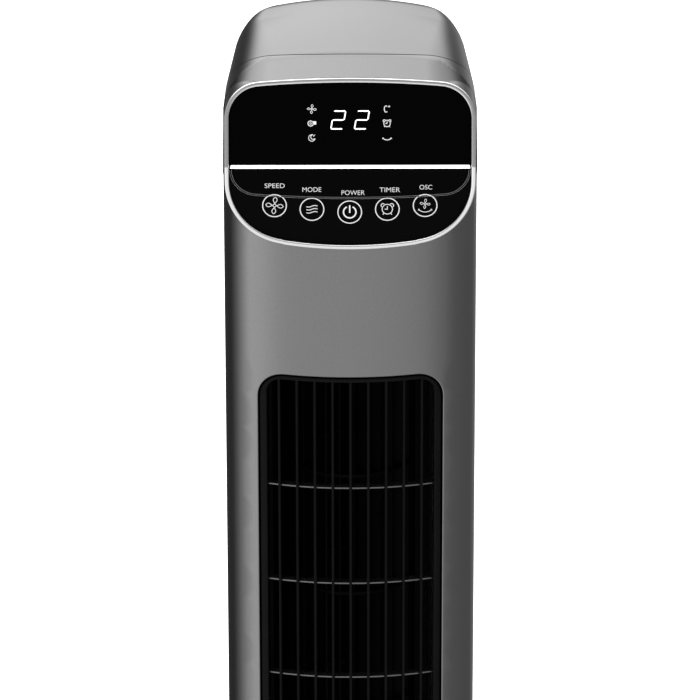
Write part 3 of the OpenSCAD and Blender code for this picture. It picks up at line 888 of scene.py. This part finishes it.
def bar(x0, x1, z0, z1, front, back, place, soft):
    """Upright or level bar of a grille, with a rounded front edge. A level bar follows the column's curve."""
    upright = z1 - z0 > x1 - x0
    low, high = (x0, x1) if upright else (z0, z1)
    profile = np.concatenate([
        [(low, back)],
        arc((low + soft, front + soft), soft, -math.pi, -math.pi / 2, 3),
        arc((high - soft, front + soft), soft, -math.pi / 2, 0, 3),
        [(high, back)],
    ])
    count = len(profile)
    rows = []
    for at in np.linspace(z0, z1, 2) if upright else np.linspace(x0, x1, 25):
        if upright:
            row = place(np.full(count, (x0 + x1) / 2), at, profile[:, 1])
            row[:, 0] = profile[:, 0]
        else:
            row = place(np.full(count, at), profile[:, 0], profile[:, 1])
        rows.append(row)
    ends = [tuple(range(count))[::-1], tuple(range((len(rows) - 1) * count, len(rows) * count))]
    return np.concatenate(rows), grid_faces(len(rows), count, closed=True) + ends


def grille_frame(outer, inner, front, back, place):
    """Frame of a grille between an outer and an inner rounded rectangle (half width, low, high, radius)."""
    rows = []
    for (half, low, high, radius), grow, deep in [
            (outer, 0, back), (outer, 0, front + 0.5 * MM), (outer, -0.15, front + 0.15 * MM),
            (outer, -0.5, front), (inner, 1.2, front), (inner, 0.5, front + 0.2 * MM),
            (inner, 0.12, front + 0.7 * MM), (inner, 0, front + 1.4 * MM), (inner, 0, back)]:
        by = grow * MM
        rows.append((ring(half + by, low - by, high + by, max(radius + by, 0.1 * MM)), deep))
    return swept_ring(rows, place, looped=True)


def build_front_grille():
    """Outlet grille: a frame with wide cheeks, upright slats and, deeper in, thin cross ribs."""
    gap = 1 * MM
    rail = 3 * MM
    half = OUTLET_HALF - gap
    low, high = OUTLET_LOW + gap, OUTLET_HIGH - gap
    outer = (half, low, high, OUTLET_CORNER_R - gap)
    inner = (half - CHEEK_W, low + rail, high - rail, 9 * MM)
    parts = [grille_frame(outer, inner, FRAME_DEEP, GRILLE_T, on_front)]
    for i in range(SLAT_COUNT):
        x = (i - (SLAT_COUNT - 1) / 2) * SLAT_PITCH
        parts.append(bar(x - SLAT_W / 2, x + SLAT_W / 2, low + 2 * MM, high - 2 * MM,
                         SLAT_DEEP, GRILLE_T, on_front, 0.7 * MM))
    ribs = []
    reach = inner[0] + 2 * MM
    for z in np.arange(high - RIB_EDGE, low + 20 * MM, -RIB_PITCH):
        ribs.append(bar(-reach, reach, z - RIB_W / 2, z + RIB_W / 2,
                        RIB_DEEP, GRILLE_T - 0.5 * MM, on_front, 0.45 * MM))
    closed_piece("front_grille_ribs", *merge(ribs), "grille_black", RIB_BLACK)
    grille = closed_piece("front_grille_skin", *merge(parts), "grille_black", GRILLE_BLACK)
    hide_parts("front_grille")


def build_rear_grille():
    """Inlet grille: a frame, upright bars and cross ribs."""
    outer = (INLET_HALF, INLET_LOW, INLET_HIGH, INLET_CORNER_R)
    rim = 4 * MM
    inner = (INLET_HALF - rim, INLET_LOW + rim, INLET_HIGH - rim, 1.5 * MM)
    parts = [grille_frame(outer, inner, 0.3 * MM, WALL, on_back)]
    for i in range(INLET_BARS):
        x = (i - (INLET_BARS - 1) / 2) * INLET_BAR_PITCH
        parts.append(bar(x - INLET_BAR_W / 2, x + INLET_BAR_W / 2, INLET_LOW + 3 * MM, INLET_HIGH - 3 * MM,
                         0.4 * MM, WALL, on_back, 0.8 * MM))
    reach = inner[0] + 1 * MM
    for z in np.linspace(INLET_LOW + 2 * MM, INLET_HIGH - 2 * MM, INLET_RIBS)[1:-1]:
        parts.append(bar(-reach, reach, z - INLET_RIB_W / 2, z + INLET_RIB_W / 2,
                         0.6 * MM, WALL, on_back, 0.8 * MM))
    grille = closed_piece("rear_grille_skin", *merge(parts), "rear_plastic", FINISHES["rear_plastic"])
    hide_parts("rear_grille")


# ---- Control panel

def panel_rows(profile, outline):
    """Outlines on the panel, one for each (inset, height) of a profile."""
    return [panel_point(*outline(inset).T, height) for inset, height in profile]


def build_bezel():
    """Chromed ring round the panel, with rolled edges."""
    profile = [(0.05, -3.3), (0.05, 0.6), (0.15, 0.95), (0.35, 1.2), (0.65, 1.32), (1.5, 1.35), (2.4, 1.3),
               (2.75, 1.15), (2.95, 0.85), (3.0, 0.4), (3.0, -3.3)]
    rows = panel_rows(np.array(profile) * MM, lambda inset: panel_outline(inset, 22))
    faces = grid_faces(len(rows), len(rows[0]), closed=True, looped=True)
    bezel = closed_piece("bezel_ring", np.concatenate(rows), faces, "bezel_chrome", CHROME, 35)
    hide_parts("panel_bezel")


def lens_outline(inset, count=14):
    """Outline of the display lens: the panel's upper part, with its own crowned lower edge."""
    half = LENS_HALF - inset
    low_cy = LENS_LOW_R - LENS_DROP
    corner_x = LENS_HALF - LENS_CORNER_R
    corner_s = low_cy - math.sqrt((LENS_LOW_R - LENS_CORNER_R) ** 2 - corner_x ** 2)
    corner_a = math.atan2(corner_s - low_cy, corner_x)
    low = arc((0, low_cy), LENS_LOW_R - inset, -math.pi / 2, corner_a, count)
    corner = arc((corner_x, corner_s), LENS_CORNER_R - inset, corner_a, 0, count)
    upper = panel_outline(PANEL_HALF - half, count)
    upper = upper[(upper[:, 0] > 0) & (upper[:, 1] > KNEE_SOFT / 2)]
    start = np.argmin(np.arctan2(upper[:, 1], upper[:, 0]))
    upper = np.roll(upper, -start, axis=0)
    top = [[0, PANEL_RISE - (PANEL_HALF - half)]]
    return mirrored(np.concatenate([low[:-1], corner, [[half, 0]], upper, top]))


def plate(profile, outline):
    """Plate on the panel: walls up through a profile, and a top and bottom in two flats from the knee."""
    rows = panel_rows(profile, outline)
    s = outline(profile[-1][0])[:, 1]
    count = len(s)
    knee = np.flatnonzero(np.abs(s) < 1e-9)
    above = [i for i in range(count) if s[i] > -1e-9]
    below = [*range(knee[1], count), *range(knee[0] + 1)]
    last = (len(rows) - 1) * count
    faces = grid_faces(len(rows), count, closed=True)
    for half in (above, below):
        faces.append(tuple(last + i for i in half))
        faces.append(tuple(half[::-1]))
    return np.concatenate(rows), faces


def build_touch_panel():
    """Black panel behind the lens and below it."""
    edge = 3.2 * MM
    soft = 0.2 * MM
    profile = [(edge, -3 * MM), (edge, TOUCH_TOP - soft), (edge + soft, TOUCH_TOP)]
    parts = plate(profile, lambda inset: panel_outline(inset, 22))
    panel = closed_piece("touch_plate", *parts, "panel_black", PANEL_BLACK, 10)
    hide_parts("touch_panel")


def build_lens():
    """Display lens, and the two thin lines of painted highlight along its lower edge."""
    profile = [(0, TOUCH_TOP + 0.02 * MM), (0, LENS_TOP - 0.2 * MM), (0.35 * MM, LENS_TOP)]
    parts = plate(profile, lambda inset: lens_outline(inset, 18))
    lens = closed_piece("display_window", *parts, "lens_black", LENS_BLACK, 10)
    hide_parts("display_lens")
    # Glowing grey ribbons just outside and inside the lens's lower edge: a painted highlight of that edge.
    lines = []
    for inset in (-0.2 * MM, 0.9 * MM):
        edge = lens_outline(inset, 30)
        edge = edge[edge[:, 1] < -0.5 * MM]
        lines.append(ribbon(edge[np.argsort(edge[:, 0])], 0.2 * MM))
    printed("painted_lens_highlight", lines, LENS_EDGE_HIGHLIGHT, lift=0.03 * MM)


def build_knee_highlight():
    """Glowing white strip bent over the panel's knee, its ends cut on a slant: a painted highlight along the
    bend.
    """
    profile = [(-1.1, 0.1), (-0.8, 0.25), (-0.3, 0.25), (0, 0.25), (0.3, 0.25), (0.8, 0.25), (1.1, 0.1),
               (1.1, -0.3), (-1.1, -0.3)]
    rows = []
    for s, lift in profile:
        slant = 0.35 * MM * (s / 1.1) if lift > 0 else 0
        x = np.linspace(slant - KNEE_HIGHLIGHT_HALF, KNEE_HIGHLIGHT_HALF - slant, 3)
        rows.append(panel_point(x, np.full(3, s * MM), LENS_TOP + lift * MM))
    faces = grid_faces(len(rows), 3, looped=True)
    faces += [tuple(range(0, 3 * len(rows), 3)), tuple(range(2, 3 * len(rows), 3))[::-1]]
    mesh = recalculated(mesh_from("knee_painted_highlight", np.concatenate(rows), faces, smooth=False))
    strip = tower_piece("knee_painted_highlight", mesh, KNEE_HIGHLIGHT)
    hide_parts("knee_strip")


# ---- Panel graphics

def ribbon(path, width, closed=False):
    """Flat stroke of a width along a path of (x, s) points."""
    path = np.asarray(path, float)
    if closed:
        tangent = np.roll(path, -1, axis=0) - np.roll(path, 1, axis=0)
    else:
        tangent = np.gradient(path, axis=0)
    tangent /= np.maximum(np.hypot(*tangent.T), 1e-12)[:, None]
    across = np.stack([-tangent[:, 1], tangent[:, 0]], axis=1) * width / 2
    count = len(path)
    steps = range(count if closed else count - 1)
    faces = [(i, (i + 1) % count, count + (i + 1) % count, count + i) for i in steps]
    return np.concatenate([path - across, path + across]), faces


def filled(outline):
    """Flat shape with one face."""
    outline = np.asarray(outline, float)
    return outline, [tuple(range(len(outline)))]


def shifted(parts, x, s):
    """Moves flat parts to a place."""
    return [(points + [x, s], faces) for points, faces in parts]


def circle(centre, radius, count=40):
    return arc(centre, radius, 0, 2 * math.pi, count)[:-1]


def petal(length, width, start, turn):
    """Outline of a fan blade that widens away from the hub."""
    along = np.linspace(0, 1, 20)
    half = width / 2 * np.sin(np.pi * along ** 1.35) ** 0.8
    reach = start + length * along
    right = np.stack([half, reach], axis=1)
    spin = np.array([[math.cos(turn), math.sin(turn)], [-math.sin(turn), math.cos(turn)]])
    return mirrored(right) @ spin


def fan_symbol(size, line, width):
    """Outlined four-bladed fan, its blades' width given against its radius."""
    blades = [petal(size * 0.38, size * width / 2, size * 0.12, math.pi / 2 * k - 0.12) for k in range(4)]
    return [ribbon(outline, line, closed=True) for outline in (*blades, circle((0, 0), size * 0.085))]


def clock_symbol(size, line):
    """Alarm clock: a face with two hands, two bells and two feet."""
    r = size * 0.36
    parts = [ribbon(circle((0, 0), r), line, closed=True)]
    parts.append(ribbon([(0, r * 0.62), (0, 0)], line))
    parts.append(ribbon([(line / 2, 0), (-r * 0.5, 0)], line))
    for side in (-1, 1):
        bell = math.radians(90 - side * 47)
        centre = (1.16 * r * math.cos(bell), 1.16 * r * math.sin(bell))
        ear = arc(centre, r * 0.36, bell - 1.75, bell + 1.75, 14)
        parts.append(ribbon(ear, line))
        foot = math.radians(-90 + side * 38)
        path = np.array([[1.08 * r, 0], [1.42 * r, 0]]) @ [[math.cos(foot), math.sin(foot)], [0, 0]]
        parts.append(ribbon(path, line))
    return parts


def wave_symbol(size, line):
    """Three waves, one above the other."""
    x = np.linspace(-0.5, 0.5, 30)
    wave = 0.055 * np.sin(2 * np.pi * (x + 0.02)) + 0.07 * x
    return [ribbon(np.stack([x, wave + 0.29 * k], axis=1) * size, line) for k in (-1, 0, 1)]


def power_symbol(size, line):
    """Ring open at the top, with an upright stroke in its gap."""
    gap = math.radians(28)
    sweep = arc((0, 0), size / 2 - line / 2, math.pi / 2 + gap, 2.5 * math.pi - gap, 40)
    return [ribbon(sweep, line), ribbon([(0, size * 0.52), (0, -size * 0.06)], line)]


def swing_symbol(size, line):
    """Double-ended curved arrow."""
    reach = math.radians(42)
    radius = size / 2 / math.sin(reach)
    path = arc((0, radius), radius, -math.pi / 2 - reach, -math.pi / 2 + reach, 20)
    parts = [ribbon(path, line)]
    for side in (-1, 1):
        tip = np.array([side * size / 2, radius * (1 - math.cos(reach))])
        along = np.array([side * math.cos(reach), math.sin(reach)])
        across = np.array([-along[1], along[0]])
        parts.append(filled([tip + along * 1.3 * line, tip - across * 1.6 * line, tip + across * 1.6 * line]))
    return parts


def moon_symbol(size, line):
    """Crescent with a small sparkle."""
    outer = arc((0, 0), size * 0.42, math.radians(70), math.radians(330), 26)
    inner = arc((size * 0.17, size * 0.13), size * 0.31, math.radians(322), math.radians(98), 22)
    sparkle = [(0.18, 0.12), (0.26, 0.22), (0.46, 0.46), (0.22, 0.34)]
    return [ribbon(np.concatenate([outer, inner]), line, closed=True), filled(np.array(sparkle) * size)]


def blower_symbol(size, line):
    """Blower: a scalloped wheel with a hub, and an outlet to the right."""
    turn = np.linspace(0, 2 * math.pi, 49)[:-1]
    radius = size * (0.30 + 0.03 * np.cos(8 * turn))
    wheel = np.stack([radius * np.cos(turn) - size * 0.14, radius * np.sin(turn)], axis=1)
    hub = circle((-size * 0.14, 0), size * 0.1, 20)
    mouth = np.array([(0.16, -0.12), (0.50, -0.12), (0.50, 0.26), (0.16, 0.26)]) * size
    return [ribbon(wheel, line, closed=True), ribbon(hub, line * 0.7, closed=True), filled(mouth)]


def degree_symbol(size, line):
    """Tall C with a degree ring."""
    letter = arc((0, 0), size * 0.42, math.radians(48), math.radians(312), 24)
    degree = circle((size * 0.26, size * 0.34), size * 0.08, 16)
    return [ribbon(letter * [0.55, 1] - [size * 0.16, 0], line), ribbon(degree, line * 0.7, closed=True)]


def segment(start, end, at, stroke, upright):
    """Pointed bar of a digit, from start to end along it, at a place across it."""
    half = stroke / 2
    along = np.array([start, start + half, end - half, end, end - half, start + half])
    across = at + half * np.array([0, 1, 1, 0, -1, -1])
    return np.stack([across, along] if upright else [along, across], axis=1)


def digit(segments, height, width, stroke, slant):
    """Slanted seven-segment digit. Segments are lettered a to g, clockwise from the top and then the bar."""
    gap = 0.14 * stroke
    side = (width - stroke) / 2
    top = (height - stroke) / 2
    level = {"a": top, "g": 0, "d": -top}
    upright = {"b": (side, 0), "c": (side, -top), "e": (-side, -top), "f": (-side, 0)}
    parts = []
    for name in segments:
        if name in level:
            outline = segment(gap - side, side - gap, level[name], stroke, upright=False)
        else:
            x, low = upright[name]
            outline = segment(low + gap, low + top - gap, x, stroke, upright=True)
        outline[:, 0] += outline[:, 1] * math.tan(slant)
        parts.append(filled(outline))
    return parts


def word(text, height, width):
    """A word in Blender's own font as flat parts centred on the origin."""
    curve = bpy.data.curves.new("word", "FONT")
    curve.body = text
    curve.offset = -0.008  # a slightly lighter weight
    holder = linked("word", curve)
    bpy.context.view_layer.update()
    mesh = holder.evaluated_get(bpy.context.evaluated_depsgraph_get()).to_mesh()
    points = np.array([v.co[:2] for v in mesh.vertices])
    faces = [tuple(p.vertices) for p in mesh.polygons]
    bpy.data.objects.remove(holder)
    bpy.data.curves.remove(curve)
    low, high = points.min(axis=0), points.max(axis=0)
    return [((points - (low + high) / 2) * [width, height] / (high - low), faces)]


def printed(name, parts, node_material, lift=0.05 * MM):
    """Thin raised ink on the panel, and the lens edge's painted highlight, following the lens and the plate
    below it.
    """
    flat, faces = merge(parts)
    for k, face in enumerate(faces):
        x, s = flat[list(face)].T
        if np.sum(x * np.roll(s, -1) - np.roll(x, -1) * s) <= 0:
            faces[k] = face[::-1]
    on_lens = inside(flat, lens_outline(0.1 * MM))
    height = np.where(on_lens, LENS_TOP, TOUCH_TOP) + lift
    top = panel_point(flat[:, 0], flat[:, 1], height)
    bottom = panel_point(flat[:, 0], flat[:, 1], height - 2 * lift)
    points, closed = thickened(top, faces, (top - bottom) / (2 * lift), 2 * lift)
    tower_piece(name, mesh_from(name, points, closed, smooth=False), node_material)


def build_graphics():
    """Lit digits and signs behind the lens, and the printed touch keys below."""
    lit = []
    for x in (-DIGIT_PITCH / 2, DIGIT_PITCH / 2):
        lit += shifted(digit("abged", DIGIT_H, DIGIT_W, DIGIT_STROKE, DIGIT_SLANT), x, DISPLAY_S)
    printed("display_digits", lit, LIT)
    signs = [
        (fan_symbol(5.7 * MM, 0.3 * MM, 0.40), -23.8, 36.1),
        (blower_symbol(5.4 * MM, 0.45 * MM), -23.8, 27.1),
        (moon_symbol(4.8 * MM, 0.4 * MM), -23.8, 18.1),
        (degree_symbol(4.7 * MM, 0.45 * MM), 23.1, 36.1),
        (clock_symbol(5.6 * MM, 0.4 * MM), 23.0, 27.1),
        (swing_symbol(4.9 * MM, 0.45 * MM), 23.0, 16.8),
    ]
    icons = [part for parts, x, s in signs for part in shifted(parts, x * MM, s * MM)]
    printed("display_signs", icons, SIGNS)
    small_fan = shifted(fan_symbol(6.4 * MM, 0.3 * MM, 0.40), 0, 1.1 * MM)
    small_swing = shifted(swing_symbol(7.8 * MM, 0.45 * MM), 0, -4.4 * MM)
    # Label, key's place across and below the knee, label's place below the knee, its width and shift, symbol
    keys = [
        ("SPEED", -47.3, 25.9, 12.5, 12.4, 0.2, fan_symbol(11.0 * MM, 0.42 * MM, 0.44)),
        ("MODE", -23.9, 28.4, 15.1, 11.8, 0.0, wave_symbol(7.0 * MM, 0.5 * MM)),
        ("POWER", -0.3, 30.3, 17.2, 14.4, 2.1, power_symbol(8.7 * MM, 0.9 * MM)),
        ("TIMER", 23.2, 28.4, 15.3, 12.7, 1.5, clock_symbol(9.0 * MM, 0.48 * MM)),
        ("OSC", 46.8, 25.9, 13.6, 7.9, 0.4, small_fan + small_swing),
    ]
    key_ring = ribbon(circle((0, 0), KEY_RING_R, 72), KEY_RING_LINE, closed=True)
    ink = []
    for label, x, drop, label_drop, label_w, label_x, symbol in keys:
        ink += shifted([key_ring], x * MM, -drop * MM)
        ink += shifted(word(label, LABEL_H, label_w * MM), (x + label_x) * MM, -label_drop * MM)
        ink += shifted(symbol, x * MM, -drop * MM)
    printed("key_print", ink, PRINT)


# ---- Base

def lathe(profile, count=160):
    """Closed solid of revolution from a closed (radius, height) profile."""
    turn = np.linspace(0, 2 * math.pi, count + 1)[:-1]
    rows = [np.stack([r * np.cos(turn), r * np.sin(turn), np.full(count, z)], axis=1) for r, z in profile]
    return np.concatenate(rows), grid_faces(len(rows), count, closed=True, looped=True)


def build_base():
    """Domed base cover with a rolled edge and the cord's hole at the back."""
    edge_z = 18 * MM
    edge_r = 14 * MM
    edge_end = math.radians(84)
    dome_r = 62 * MM
    low = 3.2 * MM
    round_r = 0.6 * MM
    outer = arc((BASE_R - edge_r, edge_z), edge_r, edge_end, 0, 14)
    inner = arc((BASE_R - edge_r, edge_z), edge_r - BASE_T, 0, edge_end, 14)
    dome = [(r, 39.9 * MM - (r - dome_r) ** 2 * 1.02) for r in np.linspace(62, 132, 15)[:-1] * MM]
    collar = np.array([(24, 31), (24, 39.6), (24.4, 40), (61, 40)]) * MM
    foot = [(BASE_R, low + round_r), (BASE_R - round_r, low),
            (BASE_R - BASE_T + round_r, low), (BASE_R - BASE_T, low + round_r)]
    under = np.array([(62, 37), (30, 37), (30, 31)]) * MM
    profile = [*collar, *dome, *outer, *foot, *inner, *under]
    mesh = recalculated(mesh_from("base_cover", *lathe(profile)))
    cover = new_object("base_cover", mesh, BASE_PAINT)
    bore = [(0.01 * MM, 0), (CORD_HOLE_R, 0), (CORD_HOLE_R, 40 * MM), (0.01 * MM, 40 * MM)]
    cutter = linked("cord_hole", recalculated(mesh_from("cord_hole", *lathe(bore, 40))))
    cutter.rotation_euler = (-math.pi / 2, 0, 0)
    cutter.location = (0, BASE_R - 20 * MM, CORD_HOLE_Z)
    cut = cover.modifiers.new("cord_hole", "BOOLEAN")
    cut.object = cutter
    cut.operation = "DIFFERENCE"
    cut.solver = "EXACT"
    bpy.context.view_layer.update()
    cover.data = bpy.data.meshes.new_from_object(cover.evaluated_get(bpy.context.evaluated_depsgraph_get()))
    cover.modifiers.clear()
    bpy.data.objects.remove(cutter)
    soften(cover, 32)
    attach(cover, "base")
    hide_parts("base_shell")


# ---- Studio

def build_floor():
    """Plain pale floor that reads white to the camera and stays out of reflections."""
    size = 30.0
    corners = [(-size, -size, 0), (size, -size, 0), (size, size, 0), (-size, size, 0)]
    mesh = mesh_from("floor", corners, [(0, 1, 2, 3)])
    floor = linked("floor", mesh)
    made, shader = material("floor_white", (0.82, 0.82, 0.82), 0.9, specular=0.0)
    shader.inputs["Emission Color"].default_value = (1, 1, 1, 1)
    shader.inputs["Emission Strength"].default_value = 0.9
    mesh.materials.append(made)
    floor.visible_glossy = False


# Brightness round the horizon, by degrees from the front, positive to the right
AROUND = [(-180, 0.30), (-168, 0.09), (-150, 0.06), (-112, 0.08), (-92, 0.38), (-70, 1.0), (-52, 1.62),
          (-40, 1.68), (-33, 1.12), (0, 1.10), (24, 0.97), (34, 0.90), (43, 0.45), (60, 0.37), (100, 0.30),
          (135, 0.22), (155, 0.35), (170, 0.42), (180, 0.30)]
# Factor on it by height, from straight down to straight up
UP = [(-1.0, 0.8), (-0.5, 0.85), (-0.37, 1.0), (-0.22, 1.0), (-0.02, 0.45), (0.2, 0.28),
      (0.6, 0.2), (1.0, 0.2)]
# Overhead light that leans to the back: brightness by height, and from left to right
OVERHEAD_TILT = math.radians(20)
OVERHEAD = [(-1.0, 0.0), (0.34, 0.0), (0.43, 0.12), (0.53, 0.55), (0.62, 0.88), (0.82, 1.0), (1.0, 1.0)]
OVERHEAD_ACROSS = [(-1.0, 1.0), (-0.08, 1.06), (0.0, 1.0), (0.1, 0.9), (0.3, 0.8), (0.6, 0.65), (1.0, 0.5)]
OVERHEAD_LIGHT = 2.25
LAMP_TARGET = Vector((0, 0, 0.7))


def ramp(tree, source, stops, low, high):
    """Grey ramp over a value that runs from low to high, through (value, brightness) stops."""
    spread = tree.nodes.new("ShaderNodeMapRange")
    spread.inputs["From Min"].default_value = low
    spread.inputs["From Max"].default_value = high
    made = tree.nodes.new("ShaderNodeValToRGB")
    elements = made.color_ramp.elements
    places = [((at - low) / (high - low), grey) for at, grey in stops]
    for element, (at, grey) in zip(elements, (places[0], places[-1])):
        element.position = at
        element.color = (grey, grey, grey, 1)
    for at, grey in places[1:-1]:
        elements.new(at).color = (grey, grey, grey, 1)
    tree.links.new(source, spread.inputs["Value"])
    tree.links.new(spread.outputs["Result"], made.inputs["Fac"])
    return made.outputs["Color"]


def calculate(tree, operation, *values):
    """Result of a maths node fed with numbers or with other nodes' results."""
    node = tree.nodes.new("ShaderNodeMath")
    node.operation = operation
    for socket, value in zip(node.inputs, values):
        if isinstance(value, (int, float)):
            socket.default_value = value
        else:
            tree.links.new(value, socket)
    return node.outputs["Value"]


def build_world():
    """Studio round the fan: a bright floor side, a darker horizon and a broad light overhead."""
    world = bpy.data.worlds.new("studio")
    world.use_nodes = True
    bpy.context.scene.world = world
    tree = world.node_tree
    place = tree.nodes.new("ShaderNodeTexCoord")
    split = tree.nodes.new("ShaderNodeSeparateXYZ")
    tree.links.new(place.outputs["Generated"], split.inputs["Vector"])
    x, y, z = (split.outputs[axis] for axis in "XYZ")
    angle = calculate(tree, "ARCTAN2", x, calculate(tree, "MULTIPLY", y, -1.0))
    around = ramp(tree, calculate(tree, "MULTIPLY", angle, 180 / math.pi), AROUND, -180, 180)
    up = ramp(tree, z, UP, -1, 1)
    tilted = calculate(tree, "ADD", calculate(tree, "MULTIPLY", z, math.cos(OVERHEAD_TILT)),
                       calculate(tree, "MULTIPLY", y, math.sin(OVERHEAD_TILT)))
    height = ramp(tree, tilted, OVERHEAD, -1, 1)
    across = ramp(tree, x, OVERHEAD_ACROSS, -1, 1)
    overhead = calculate(tree, "MULTIPLY", height, across)
    side = calculate(tree, "MULTIPLY", around, up)
    total = calculate(tree, "ADD", side, calculate(tree, "MULTIPLY", overhead, OVERHEAD_LIGHT))
    tree.links.new(total, tree.nodes["Background"].inputs["Color"])


def area_light(name, place, size, power):
    """Square lamp aimed at the middle of the column."""
    light = bpy.data.lights.new(name, "AREA")
    light.size = size
    light.energy = power
    lamp = linked(name, light)
    lamp.location = place
    lamp.rotation_euler = (LAMP_TARGET - Vector(place)).to_track_quat("-Z", "Y").to_euler()


def build_camera():
    """Long lens from the front and a little above, aimed at the upper part of the column."""
    pitch = math.radians(22.33)
    roll = -0.0014
    away = 3.473
    ahead = Vector((0, math.cos(pitch), -math.sin(pitch)))
    above = Vector((0, math.sin(pitch), math.cos(pitch)))
    right = Vector((1, 0, 0))
    lens_right = right * math.cos(roll) + above * math.sin(roll)
    lens_up = above * math.cos(roll) - right * math.sin(roll)
    data = bpy.data.cameras.new("camera")
    data.lens = 282.9
    data.sensor_width = 36
    data.clip_end = 100
    camera = linked("camera", data)
    aim = Vector((-0.25 * MM, -75 * MM, 850.2 * MM))
    turn = Matrix([lens_right, lens_up, -ahead]).transposed()
    camera.matrix_world = Matrix.Translation(aim - ahead * away) @ turn.to_4x4()
    bpy.context.scene.camera = camera


finish_frame()
build_front_shell()
build_rear_shell()
build_top_cap()
build_outlet_lip()
build_pod_wall()
build_front_grille()
build_rear_grille()
build_bezel()
build_touch_panel()
build_lens()
build_knee_highlight()
build_graphics()
build_base()
build_floor()
build_world()
area_light("key", (-1.2, -2.2, 2.6), 1.6, 4)
area_light("fill", (1.8, -1.2, 1.8), 1.6, 2)
area_light("back", (0.4, 1.6, 3.4), 1.8, 4)
build_camera()

scene = bpy.context.scene
scene.view_settings.view_transform = "Standard"
scene.view_settings.look = "None"

bpy.context.view_layer.update()
